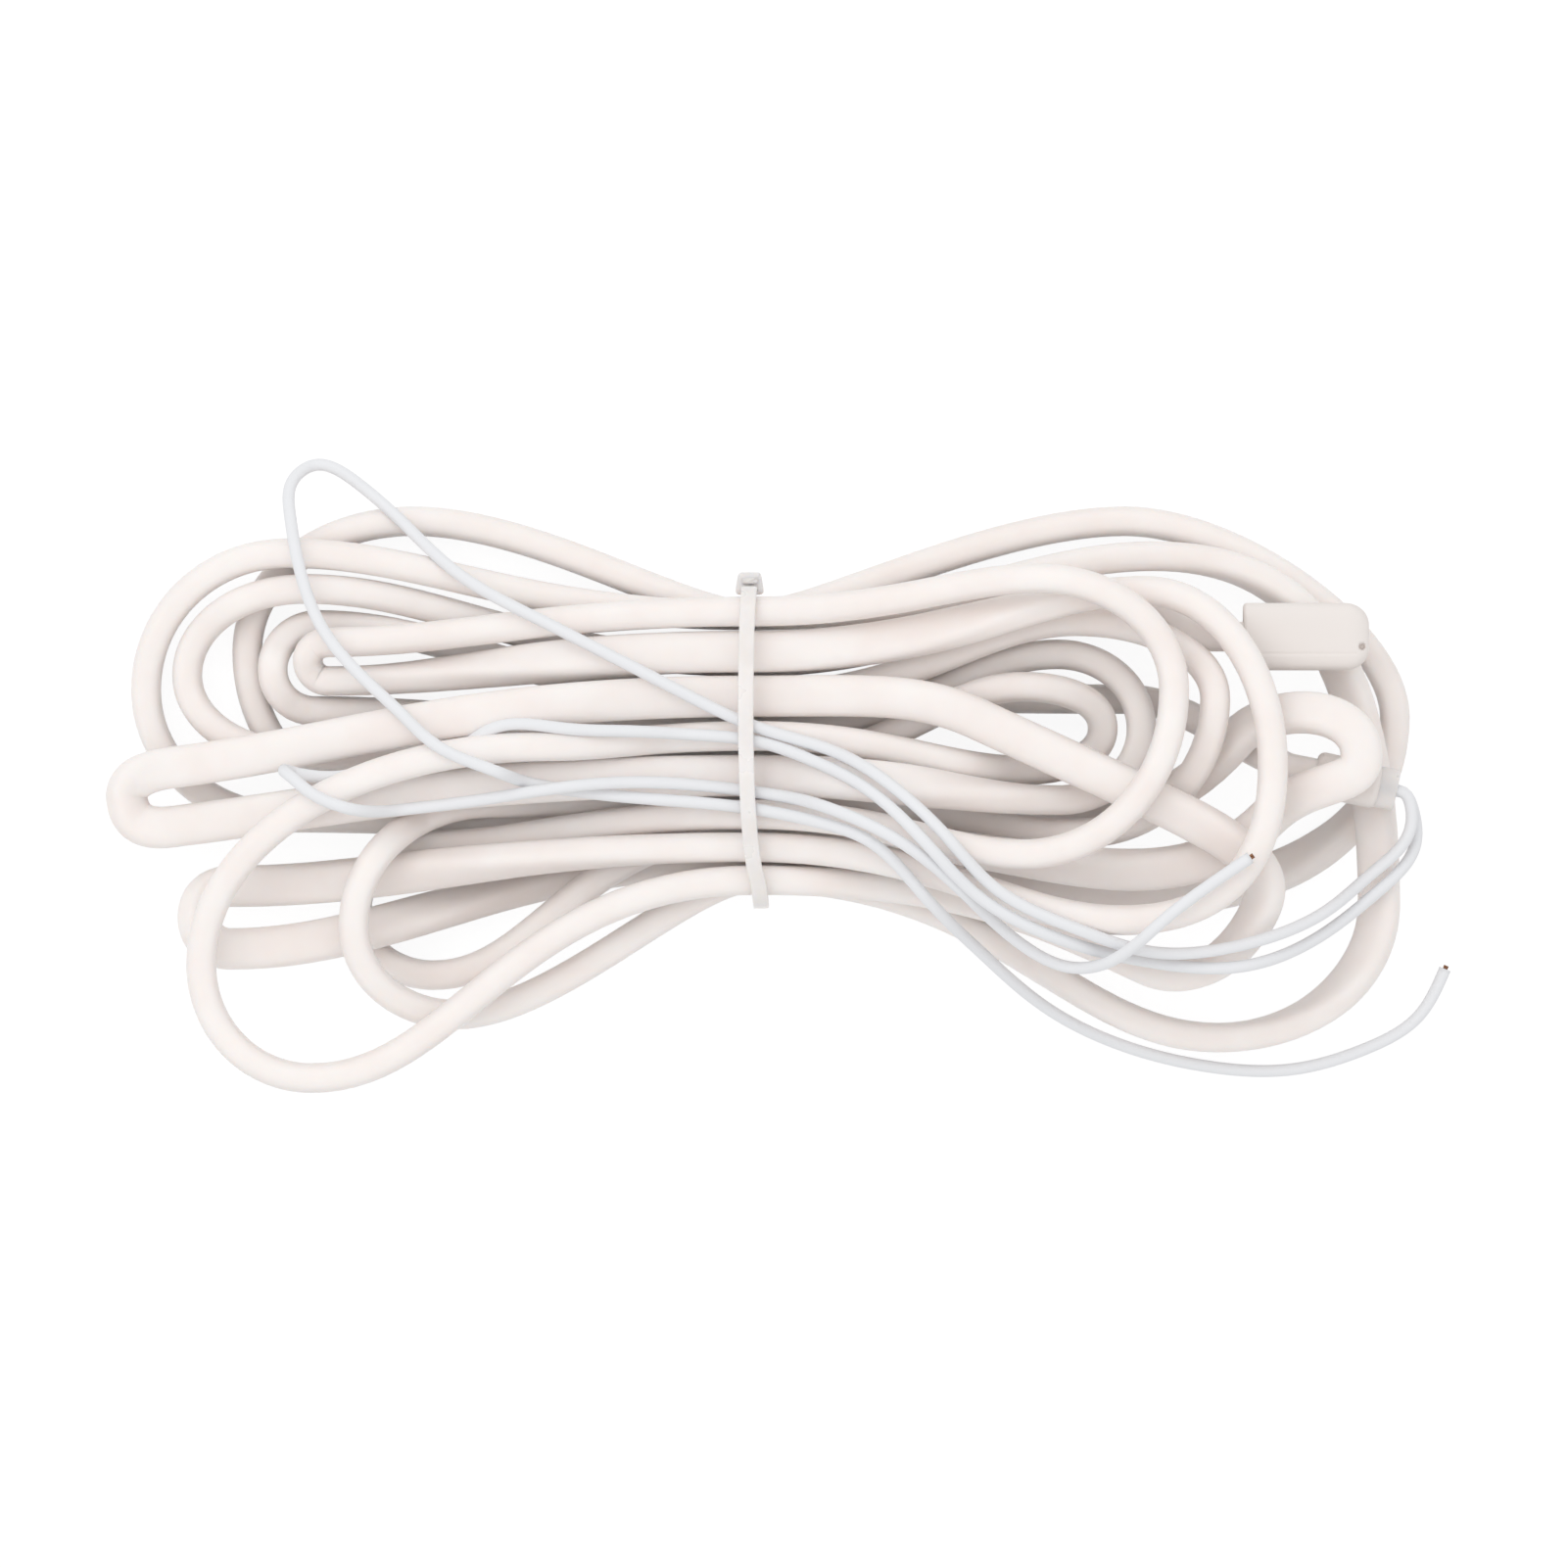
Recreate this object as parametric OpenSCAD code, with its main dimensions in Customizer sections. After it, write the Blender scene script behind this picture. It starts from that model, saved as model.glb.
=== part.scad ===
// Drain line heating cable, stored as a tied hank.
// A flat silicone heater cord is folded back and forth in long loops to both sides of a
// cable tie. One end is closed by a moulded seal. The other ends in a moulded splice, from
// which two thin cold leads go back through the tie and end bare.
// Millimetres. The origin is on the resting plane, under the middle of the tie.
// X runs along the hank, Y across it and Z up.

/* [Heater cord] */
// Wide face of the flat cord, which scales the whole hank
cord_face = 7; // [6:0.1:8]
// Depth of the flat cut where the cord rests, as a share of its narrow side
rest_cut = 0.1; // [0.05:0.01:0.1]

/* [End seal] */
// Length of the moulded end seal
seal_len = 21; // [18:0.5:22]
// Width of the end seal
seal_w = 11.3; // [10:0.1:11.5]
// Height of the end seal
seal_h = 8.4; // [8:0.1:8.4]
// Diameter of the vent hole in its free end
vent_d = 1.1; // [0.8:0.1:1.6]

/* [Splice] */
// Length of the moulded splice cover
splice_len = 11; // [10.5:0.5:12]
// Width of the splice cover
splice_w = 7.6; // [7.2:0.1:8]
// Height of the splice cover
splice_h = 8.2; // [8:0.1:8.4]
// Length of the clear sleeve on the leads
sleeve_len = 3; // [3:0.5:5]

/* [Cold leads] */
// Outside diameter of a lead
lead_d = 2.05; // [1.8:0.05:2.1]
// Diameter of its stranded conductor
strand_d = 0.9; // [0.6:0.1:1]
// Length of bare conductor at the cut end
bare_len = 0.6; // [0.4:0.1:2]

/* [Cable tie] */
// Width of the strap
tie_w = 2.6; // [2.2:0.1:3.6]
// Thickness of the strap
tie_t = 0.95; // [0.8:0.05:1]

/* [Hidden] */
k = cord_face / 7;          // size of the hank against a 7 mm cord
hw = 2.5;                   // half the narrow side, in hank units
hh = 3.5;                   // half the wide face
floor_z = 3;                // centre of a run on edge on the floor, before the cut
LAYER = 7.5;                // rise from one layer of the heap to the next
SETTLE = 60;                // steps in which the heap settles
up_gap = 1;                 // clearance aimed at between one run and the run over it
side_gap = 0.4;             // and between runs side by side
// Moulded ends in hank units: where the cord enters each, and how far it goes in
seal_at = [82, 18.4, 18.8];
splice_at = [94, -4.5, 18.5];
splice_a = -12;
seal_grip = 4;
splice_grip = 4.9;
seal_l = seal_len / k;
seal_hw = seal_w / 2 / k;
seal_hh = seal_h / 2 / k;
splice_l = splice_len / k;
splice_hw = splice_w / 2 / k;
splice_hh = splice_h / 2 / k;
fit = 0.15;                 // clearance of a moulding round the cord
lead_fit = 0.1;             // and round a lead
core_d = 1.1;               // solid core of the cord
core_z = 1.2;               // half the distance between its two cores
crimp_d = 1.9;
tie_turn = 2;

// Routes of the cold leads, in hank units: out of the sleeve, back through the tie, round on
// the left, through the tie again and to the cut end. Lead 2 dives below an upper turn.
LEAD_1 = [[110, -9.8, 19.2], [109.3, -15.5, 18.6], [104.5, -20.5, 18], [95, -28, 25],
    [82, -33, 31], [68, -34.5, 32.5], [54, -30.5, 37.5], [40, -23.5, 38.5], [32, -15, 41.5],
    [21.5, -5.5, 38], [11, 0, 29.5], [0, 3.4, 25.5], [-12, 9, 26], [-37.5, 22, 23.5],
    [-49, 28.5, 17], [-67, 44.5, 5], [-73.5, 47.5, 5], [-77.5, 45, 8], [-78, 39, 13],
    [-76.5, 31, 18], [-73, 21, 20], [-59, 5.5, 28], [-51, -1, 34.5], [-43.5, -4, 34.5],
    [-38, -6, 27.5], [-26, -8, 25.5], [-2, -10.2, 25.5], [3, -11, 27.5], [12, -13, 33.5],
    [19.5, -16, 37], [28, -24.5, 34.5], [38, -34.5, 23], [50, -44.5, 12], [64, -51, 6],
    [77, -54, 3], [90, -54.5, 2], [103, -51, 1.5], [112, -45.5, 1.5], [116.5, -37.5, 1.5]];
LEAD_2 = [[110.5, -10.5, 16.2], [110.8, -17, 15.4], [105, -24, 17], [93.5, -32.5, 23],
    [79, -37, 30], [66, -36, 28], [52, -32.5, 35.5], [38, -25.5, 38.5], [28.5, -16, 42],
    [20, -8, 38], [10, -2.5, 30], [0, 0.9, 25.5], [-11, 2, 25.6], [-20, 2.5, 28.2],
    [-32, 3, 30], [-43.5, 3, 29.5], [-47, 1, 27.5], [-48.5, 0, 23.5], [-63, -3.5, 23.5],
    [-69, -5, 24.5], [-76.5, -4.5, 25], [-78.5, -4, 28], [-77, -5.3, 32],
    [-73.5, -8, 34.5], [-69, -10, 34.5], [-58, -10.5, 27], [-46, -9, 29], [-33, -7, 29.5],
    [-20, -6, 27], [-3, -7.2, 24.6], [4, -8.2, 27], [13, -10.5, 36], [24.5, -16, 40.5],
    [34, -23.5, 37.5], [42, -31, 31], [51, -36.5, 30], [60, -35.5, 36.5], [68, -29, 42.5],
    [82.5, -18.5, 42.5]];

cord_col = "#EFE9E2";
seal_col = "#EFE6E0";
lead_col = "#ECECEE";
tie_col = "#F0EFEA";
copper_col = "#B87A4B";
tin_col = "#B9BBBE";

// Places of the cord in the tie: [y, z, turn], three layers deep, 0 on edge and 1 flat
U1 = [22.6, 20.6, 0];  U2 = [15.9, 19.6, 1];  U3 = [8.4, 19.6, 1];   U4 = [1.75, 20.6, 0];
U5 = [-4.9, 19.6, 1];  U6 = [-11.4, 20.6, 0]; U7 = [-16.9, 20.6, 0]; U8 = [-22.4, 20.6, 0];
M1 = [22, 13, 0];      M2 = [14.2, 13, 0];    M3 = [8.4, 13, 0];     M4 = [2.8, 13, 0];
M5 = [-2.8, 13, 0];    M6 = [-8.4, 13, 0];    M7 = [-14, 13, 0];     M8 = [-22, 13, 0];
D1 = [22, 5.4, 0];     D2 = [8.4, 5.4, 0];    D3 = [-13.6, 5.4, 0];  D4 = [-19.6, 5.4, 0];

// Loops in the order in which the cord runs. Each has its side, whether it is run backwards,
// its two places in the tie, the shoulder, tip and shoulder in plan, the layer of the heap in
// which it lies by the tie, at the three points and by the tie again, the turn at the three
// points, the headings there in degrees, and the pulls of its four arcs as shares of their spans.
E = [0, 0, 0];
LOOPS = [
    // outer left, second
    [-1, 0, M2, M5, [-75.5, 26.5], [-95.5, 12], [-75.5, -1.5],
        [0, 1.25, 0, 1.25, 1], E, E, [0.5, 0.3, 0.56, 0.56, 0.56, 0.56, 0.3, 0.5]],
    // innermost right
    [1, 0, M5, U4, [45, 10], [58.5, 3], [45, -4],
        [1.5, 2.75, 1.5, 1.25, 3.5], E, E, [0.5, 0.3, 0.5, 0.7, 0.7, 0.5, 0.3, 0.5]],
    // low front left, the longest drop
    [-1, 0, U4, U8, [-34.5, 0], [-92.5, -36.5], [-74, -55.5],
        [2, 4, 2.5, 3, 2.75], E, E, [0.5, 0.3, 0.56, 0.56, 0.56, 0.56, 0.3, 0.5]],
    // flat band across the right
    [1, 1, U3, U8, [37.5, 4.5], [84.5, -27.5], [65.5, -37.5],
        [3, 3.5, 3.25, 1.75, 1.5], [1, 0.5, 0], [-25, -25, -25],
        [0.5, 0.3, 0.75, 1.2, 0.56, 0.56, 0.3, 0.5]],
    // long flat fold on the left
    [-1, 0, U3, U5, [-97.5, -3.5], [-105.5, -9], [-98, -13.5],
        [3.5, 1.25, 0.75, 1, 3.25], [1, 0.6, 1], [7, 7, 7],
        [0.5, 0.3, 0.6, 0.75, 0.75, 0.6, 0.3, 0.5]],
    // second right
    [1, 1, M4, U5, [51, 15.5], [65, 3], [51, -9],
        [1.25, 1, 1.5, 2.25, 3.75], E, E, [0.5, 0.3, 0.56, 0.56, 0.56, 0.56, 0.3, 0.5]],
    // third left
    [-1, 1, M3, M4, [-73.5, 20.5], [-81, 13], [-74, 6],
        [1.25, 0.25, 1, 0.5, 1], E, E, [0.5, 0.3, 0.56, 0.56, 0.56, 0.56, 0.3, 0.5]],
    // third right
    [1, 0, M3, M6, [54, 21], [77, 8], [55, -14.5],
        [1.75, 1.75, 3, 2, 0.75], E, E, [0.5, 0.3, 0.56, 0.56, 0.56, 0.56, 0.3, 0.5]],
    // low middle left
    [-1, 0, M6, M8, [-44.5, -9.5], [-67, -30], [-50, -45],
        [0.75, 1.25, 3.25, 1.75, 0.75], E, E, [0.5, 0.3, 0.56, 0.56, 0.56, 0.56, 0.3, 0.2]],
    // largest right
    [1, 1, M1, M8, [67, 32], [105, -26.5], [78, -49],
        [1, 1, 1, 0.25, 1.25], [0, 0.8, 0], E, [0.5, 0.3, 0.58, 0.8, 0.56, 0.56, 0.3, 0.5]],
    // outermost left
    [-1, 0, M1, D3, [-78.5, 32.5], [-102.5, 9.5], [-78.5, -12],
        [0.75, 1, 0, 0, 0], E, E, [0.5, 0.3, 0.56, 0.56, 0.56, 0.56, 0.3, 0.5]],
    // hooked fold over the splice
    [1, 0, D3, M7, [80.5, 1], [101.5, -1.5], [86, -12],
        [0, 2, 3.5, 2.5, 1.75], [0.5, 1, 1], [50, 0, 45],
        [0.4, 0.35, 0.8, 3.4, 0.56, 0.56, 0.3, 0.5]],
    // low inner left
    [-1, 1, U6, M7, [-54, -16.5], [-67, -27.5], [-54, -38.5],
        [3, 1, 0, 0.25, 0.75], E, E, [0.5, 0.3, 0.56, 0.56, 0.56, 0.56, 0.3, 0.5]],
    // top right
    [1, 1, U1, U6, [47.5, 28], [70, 9.5], [45, -18],
        [2.5, 3.5, 4.25, 4.25, 3], E, E, [0.5, 0.3, 0.56, 0.56, 0.56, 0.56, 0.3, 0.5]],
    // top left hairpin
    [-1, 0, U1, U2, [-71.5, 17.5], [-75, 14.5], [-71.5, 11],
        [2, 1.5, 1.25, 1, 2.5], E, E, [0.5, 0.3, 0.56, 0.56, 0.56, 0.56, 0.3, 0.5]],
    // tall right, over the seal's mouth
    [1, 0, U2, U7, [65.5, 26], [86.5, -3], [61.5, -29],
        [2.75, 2.5, 4.25, 4.25, 3.75], E, E, [0.5, 0.3, 0.56, 0.56, 0.6, 0.7, 0.3, 0.5]],
    // flat hairpin on the left
    [-1, 0, U7, D4, [-88, -23.5], [-93.5, -28.5], [-88, -34],
        [2.5, 0.75, 1.25, 1.75, 0.25], [1, 0.5, 1], E, [0.5, 0.3, 0.56, 0.56, 0.56, 0.56, 0.3, 0.5]],
    // outermost right
    [1, 1, D1, D4, [62.5, 38], [108, 5], [67, -25],
        [0, 0, 0, 0, 0], [0, 0, 1], E, [0.15, 0.35, 0.42, 0.42, 0.66, 0.5, 0.3, 0.5]],
    // upper left, on the floor
    [-1, 0, D1, D2, [-57.5, 38], [-85.5, 16], [-68, -6.5],
        [0, 0, 0, 0, 0], E, E, [0.2, 0.35, 0.56, 0.56, 0.56, 0.56, 0.3, 0.5]]];

function turn2(v, a) = [cos(a) * v[0] - sin(a) * v[1], sin(a) * v[0] + cos(a) * v[1]];
function bez(c, t) = pow(1 - t, 3) * c[0] + 3 * pow(1 - t, 2) * t * c[1]
    + 3 * (1 - t) * t * t * c[2] + t * t * t * c[3];
function ease(t) = t * t * (3 - 2 * t);
function mix(a, b, t) = a + (b - a) * t;

// One loop: four arcs of three rings, as [x, y, layer height, turn] at each ring
function loop(l) = let(
    sd = [l[0], 0], p0 = [0, l[2][0]], p1 = [0, l[3][0]], a = l[4], t = l[5], b = l[6],
    ha = turn2(sd, l[9][0]), ht = turn2([0, -1], l[9][1]), hb = -turn2(sd, l[9][2]),
    d0 = norm(a - p0), d1 = norm(b - p1), q = l[10],
    arcs = [[p0, p0 + sd * d0 * q[0], a - ha * d0 * q[1], a],
        [a, a + ha * abs((t - a) * ha) * q[2], t - ht * abs((t - a) * ht) * q[3], t],
        [t, t + ht * abs((b - t) * ht) * q[4], b - hb * abs((b - t) * hb) * q[5], b],
        [b, b + hb * d1 * q[6], p1 + sd * d1 * q[7], p1]],
    z = [for (v = l[7]) floor_z + LAYER * v],
    tw = [l[2][2], l[8][0], l[8][1], l[8][2], l[3][2]],
    zs = [l[2][1], z[0], mix(z[0], z[1], 0.5), z[1], mix(z[1], z[2], ease(1 / 3)),
        mix(z[1], z[2], ease(2 / 3)), z[2], mix(z[2], z[3], ease(1 / 3)),
        mix(z[2], z[3], ease(2 / 3)), z[3], mix(z[3], z[4], 0.5), z[4], l[3][1]])
    [for (i = [0:12]) let(n = min(3, floor(i / 3)), s = i / 3 - n, p = bez(arcs[n], s))
        [p[0], p[1], zs[i], mix(tw[n], tw[n + 1], ease(s))]];
function reversed(v) = [for (i = [len(v) - 1:-1:0]) v[i]];
function run(l) = let(v = l[1] == 1 ? reversed(loop(l)) : loop(l)) [for (i = [0:11]) v[i]];

// The two ends, from the tie to the seal and to the splice
function at(p, layer) = [p[0], p[1], floor_z + LAYER * layer, 0];
seal_run = let(a = [65.5, 26], e = [seal_at[0] - 5.5, seal_at[1]], w = [0, M2[0]],
    c1 = [w, w + [26, 0], a - [20, 0], a], c2 = [a, a + [4, -1], e - [5, 0], e])
    [at(bez(c1, 1 / 3), 0), at(bez(c1, 2 / 3), 0.5), at(a, 1), at(bez(c2, 1 / 3), 1.25),
        at(bez(c2, 2 / 3), 1.75), for (x = [-5.5, -1.5, seal_grip])
            [seal_at[0] + x, seal_at[1], seal_at[2], 0]];
splice_run = let(a = [62.5, 8], t = [109, -7.5], w = [0, D2[0]],
    c1 = [w, w + [25, 0], a - [19, 0], a], c2 = [a, a + [14.7, 0], t - [24.5, 0], t],
    d = turn2([1, 0], splice_a), m = [splice_at[0], splice_at[1]])
    [[w[0], w[1], D2[1], 0], at(bez(c1, 1 / 3), 0), at(bez(c1, 2 / 3), 0), at(a, 0),
        at(bez(c2, 1 / 3), 0.25), [for (v = bez(c2, 2 / 3)) v, splice_at[2], 0],
        for (x = [-1.5, splice_grip]) [for (v = m + x * d) v, splice_at[2], 0]];
route = concat(reversed(seal_run), [for (l = LOOPS) for (p = run(l)) p], splice_run);
lead_in = len(seal_run);

// How the heap settles. The two moulded ends are stretches of their own, and lie still.
function plan() = concat(route,
    [for (x = [2, seal_l - 1.5]) [seal_at[0] + x, seal_at[1], seal_at[2], 0]],
    [for (x = [0, splice_l]) let(d = turn2([1, 0], splice_a) * x)
        [splice_at[0] + d[0], splice_at[1] + d[1], splice_at[2], 0]]);
function half_h(p) = max(hw * abs(sin(90 * p[3])),
    0.56 * hw * abs(sin(90 * p[3])) + hh * abs(cos(90 * p[3])));
function half_w(p) = max(hw * abs(cos(90 * p[3])),
    0.56 * hw * abs(cos(90 * p[3])) + hh * abs(sin(90 * p[3])));
function sums(v, i = 0, s = 0) = i == len(v) ? [s] : concat([s], sums(v, i + 1, s + v[i]));

// Where one stretch passes over, under or beside another: [i, s, j, t, share of full height]
function touches(p, w) = let(n = len(route), m = len(p), o = [n - 1, n + 1],
    xy = [for (q = p) [q[0], q[1]]], along = sums([for (i = [0:m - 2]) norm(xy[i + 1] - xy[i])]),
    seg = [for (i = [0:m - 2]) if (i != o[0] && i != o[1]) i])
    [for (i = seg) [for (s = [0, 1 / 3, 2 / 3]) let(c = mix(xy[i], xy[i + 1], s))
        for (j = seg) if (norm(c - xy[j]) < 40 && apart(i, j, along, n))
            let(e = xy[j + 1] - xy[j], t = min(1, max(0, (c - xy[j]) * e / (e * e))),
                reach = mix(w[i], w[i + 1], s) + mix(w[j], w[j + 1], t) + side_gap,
                d = norm(c - xy[j] - t * e))
            if (d < reach) [i, s, j, t, pow(1 - pow(d / reach, 2.8), 1 / 2.8)]]];
function apart(i, j, along, n) = let(a = min(i, j), b = max(i, j))
    b - a >= 3 && along[b] - along[a + 1] > 9 && !(a >= n)
        && !(b == n && a < 5) && !(b == n + 2 && a >= n - 4);
// Which of the two lies over the other there, by the layers of the stretches around them
function rise(c, p) = (mix(p[c[0]][2], p[c[0] + 1][2], c[1])
    - mix(p[c[2]][2], p[c[2] + 1][2], c[3])) * c[4];
function order(i, j, by, m) = let(
    up = [for (a = [max(0, i - 2):min(m, i + 2)]) for (c = by[a]) if (abs(c[0] - j) <= 2) c[1]],
    dn = [for (a = [max(0, j - 2):min(m, j + 2)]) for (c = by[a]) if (abs(c[0] - i) <= 2) c[1]])
    total(up) - total(dn) > 0 ? 1 : -1;
function total(v) = len(v) == 0 ? 0 : v * [for (a = v) 1];
function worst(v) = len(v) == 0 ? 0 : max(v);
function settle(z, n, st, cs, pulls, ds, still, low) = n < 1 ? z : let(
    m = len(st), soft = n > SETTLE / 2 ? 0.06 : 0.009,
    y = [for (i = [0:m - 1]) still[i] ? z[i] : max(low[i], mix(z[i],
        (z[i - 1] * ds[i] + z[i + 1] * ds[i - 1]) / (ds[i] + ds[i - 1]), soft))],
    q = concat(y, [for (i = [m:len(z) - 1]) z[i]]),
    lean = [for (i = [0:len(z) - 2]) i < m - 1 ? sqrt(1 + pow((q[i + 1] - q[i]) / ds[i], 2)) : 1],
    v = [for (c = cs) max(0, c[7] * lean[c[0]] + c[8] * lean[c[2]] + c[9]
        - c[5] * (mix(q[c[0]], q[c[0] + 1], c[1]) - mix(q[c[2]], q[c[2] + 1], c[3])))],
    nz = [for (i = [0:m - 1]) still[i] ? q[i] : max(low[i], q[i] + 0.6
        * (worst([for (a = pulls[i][0]) v[a[0]] * a[1]])
            - worst([for (a = pulls[i][1]) v[a[0]] * a[1]])))])
    settle(concat(nz, [for (i = [m:len(z) - 1]) z[i]]), n - 1, st, cs, pulls, ds, still, low);

// The settled rings, from the layer heights to heights that clear
function settled() = let(
    p = plan(), n = len(route), h = [for (i = [0:len(p) - 1]) i < n ? half_h(p[i])
        : i < n + 2 ? seal_hh : splice_hh],
    w = [for (i = [0:len(p) - 1]) i < n ? half_w(p[i]) : i < n + 2 ? seal_hw : splice_hw],
    by = touches(p, w),
    ks = [for (i = [0:len(p) - 2]) let(g = search(i, [for (b = by) len(b) > 0 ? b[0][0] : -1]))
        len(g) == 0 ? [] : [for (c = by[g[0]]) [c[2], rise(c, p)]]],
    cs = [for (b = by) for (c = b) let(up = order(c[0], c[2], ks, len(p) - 2),
        hi = mix(h[c[0]], h[c[0] + 1], c[1]) * c[4], hj = mix(h[c[2]], h[c[2] + 1], c[3]) * c[4])
        [c[0], c[1], c[2], c[3], c[4], up, 0, hi, hj, up_gap * c[4]]],
    ends = [for (k = [0:len(cs) - 1]) let(c = cs[k], a = pow(1 - c[1], 2) + pow(c[1], 2),
        b = pow(1 - c[3], 2) + pow(c[3], 2))
        each [[c[0], c[5], k, (1 - c[1]) / a], [c[0] + 1, c[5], k, c[1] / a],
            [c[2], -c[5], k, (1 - c[3]) / b], [c[2] + 1, -c[5], k, c[3] / b]]],
    pulls = [for (i = [0:n - 1]) [for (g = [1, -1])
        [for (e = ends) if (e[0] == i && e[1] == g && e[3] > 0) [e[2], e[3]]]]],
    ds = [for (i = [0:n - 2]) norm([route[i + 1][0] - route[i][0], route[i + 1][1] - route[i][1]])],
    still = [for (i = [0:n - 1]) i < 3 || i > n - 4 || i == n - len(splice_run)
        || (i >= lead_in && i < n - len(splice_run) && (i - lead_in) % 12 == 0)],
    z = settle([for (q = p) q[2]], SETTLE, route, cs, pulls, ds, still,
        [for (q = route) half_h(q) - hw * 2 * rest_cut]))
    [for (i = [0:n - 1]) [route[i][0], route[i][1], z[i], route[i][3]]];

// Rings of the cord's six-sided section, square to the run, with the resting flat cut
function unit(v) = v / norm(v);
function ring(r, i) = let(p = r[i], a = r[max(0, i - 1)], b = r[min(len(r) - 1, i + 1)],
    t = unit([b[0] - a[0], b[1] - a[1], b[2] - a[2]]),
    side = unit(cross([0, 0, 1], t)), up = cross(t, side), w = 90 * p[3],
    u = side * cos(w) + up * sin(w), v = up * cos(w) - side * sin(w))
    [for (s = [[1, 0], [0.56, 1], [-0.56, 1], [-1, 0], [-0.56, -1], [0.56, -1]])
        let(q = [p[0], p[1], p[2]] + u * hw * s[0] + v * hh * s[1])
        [q[0], q[1], max(q[2] - hw * 2 * rest_cut, 0)] * k];

// A closed tube through rings of m points each, in triangles
module skin(rs, m) {
    n = len(rs);
    polyhedron(points = [for (r = rs) for (p = r) p], convexity = 10, faces = concat(
        [for (i = [0:n - 2]) for (j = [0:m - 1]) let(a = i * m + j, b = i * m + (j + 1) % m)
            each [[a, a + m, b], [b, a + m, b + m]]],
        [for (j = [1:m - 2]) [0, j, j + 1]],
        [for (j = [1:m - 2]) let(o = (n - 1) * m) [o, o + j + 1, o + j]]));
}

// Least distance between surface points of stretches over 15 mm apart along the cord
function least_gap(rs) = let(
    mids = [for (i = [0:len(rs) - 2]) (rs[i][0] + rs[i][3] + rs[i + 1][0] + rs[i + 1][3]) / 4],
    half = [for (i = [0:len(rs) - 2]) norm(rs[i][0] + rs[i][3] - rs[i + 1][0] - rs[i + 1][3]) / 4],
    pts = [for (i = [0:len(rs) - 2]) [for (s = [0:0.25:0.75]) for (j = [0:5]) for (e = [0, 0.5])
        mix(mix(rs[i][j], rs[i + 1][j], s), mix(rs[i][(j + 1) % 6], rs[i + 1][(j + 1) % 6], s), e)]])
    min([for (i = [0:len(mids) - 5]) for (j = [i + 4:len(mids) - 1])
        if (norm(mids[i] - mids[j]) < half[i] + half[j] + 8 * k)
            min([for (a = pts[i]) min([for (b = pts[j]) norm(a - b)])])]);
function run_length(rs) = sums([for (i = [0:len(rs) - 2])
    norm(rs[i][0] + rs[i][3] - rs[i + 1][0] - rs[i + 1][3]) / 2])[len(rs) - 1];

module heater_cord() {
    r = settled();
    rs = [for (i = [0:len(r) - 1]) ring(r, i)];
    echo(cord_length = round(run_length(rs)), rings = len(rs), least_gap = least_gap(rs));
    color(cord_col) skin(rs, 6);
}

// A place on a moulded end: origin at its mouth, X along the cord, in millimetres
module on_seal() { translate([seal_at[0], seal_at[1], seal_at[2] - 2 * hw * rest_cut] * k) children(); }
module on_splice() {
    translate([splice_at[0], splice_at[1], splice_at[2] - 2 * hw * rest_cut] * k)
        rotate([0, 0, splice_a]) children();
}
module bar(d, x0, x1, y = 0, z = 0) {
    translate([x0, y, z]) rotate([0, 90, 0]) cylinder(d = d, h = x1 - x0, $fn = 32);
}
// Rectangle with round corners, centred on Y
module soft_rect(x0, x1, w, r) {
    translate([x0 + r, -w / 2]) square([x1 - x0 - 2 * r, w]);
    translate([x0, -w / 2 + r]) square([x1 - x0, w - 2 * r]);
    for (x = [x0 + r, x1 - r], y = [-w / 2 + r, w / 2 - r]) translate([x, y]) circle(r = r, $fn = 40);
}
// Moulded body, soft all round: its plan run up, cut by its end view run along X
module moulding(l, w, h, r_end, r_edge) {
    intersection() {
        translate([0, 0, -h / 2]) linear_extrude(h) soft_rect(0, l, w, r_end);
        rotate([90, 0, 90]) linear_extrude(l) translate([-w / 2, 0]) soft_rect(0, w, h, r_edge);
    }
}
// The cord's own section with a clearance, run along X from the mouth
module cord_pocket(depth, c) {
    a = hw * k + c;
    b = hh * k + c;
    rotate([90, 0, 90]) translate([0, 0, -0.01]) linear_extrude(depth + 0.01)
        polygon([[a, 0], [0.56 * a, b], [-0.56 * a, b], [-a, 0], [-0.56 * a, -b], [0.56 * a, -b]]);
}

// End seal: moulded silicone with a bridged pair of cores inside
seal_in = seal_grip * k;
module seal_end_cores() {
    color(copper_col) on_seal() for (s = [-1, 1]) bar(core_d, seal_in, seal_in + 8, 0, s * core_z);
}
module bridge_crimp() {
    color(tin_col) on_seal() difference() {
        bar(2 * core_z + core_d + 1.6, seal_in + 3, seal_in + 9);
        for (s = [-1, 1]) bar(core_d + 0.1, seal_in + 2.9, seal_in + 8.05, 0, s * core_z);
    }
}
module end_seal() {
    color(seal_col) on_seal() difference() {
        moulding(seal_len, seal_w, seal_h, 4, 2.6);
        cord_pocket(seal_in + 0.1, fit);
        bar(2 * core_z + core_d + 1.9, seal_in, seal_in + 9.2);
        // vent hole and the shallow line of the mould's parting
        translate([seal_len - 1.2 - vent_d / 2, -1.7, seal_h / 2 - 1.6])
            cylinder(d = vent_d, h = 2, $fn = 24);
        translate([2, -seal_w / 4 - 0.2, seal_h / 2 - 0.15]) cube([seal_len - 6, 0.4, 1]);
    }
}

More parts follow.
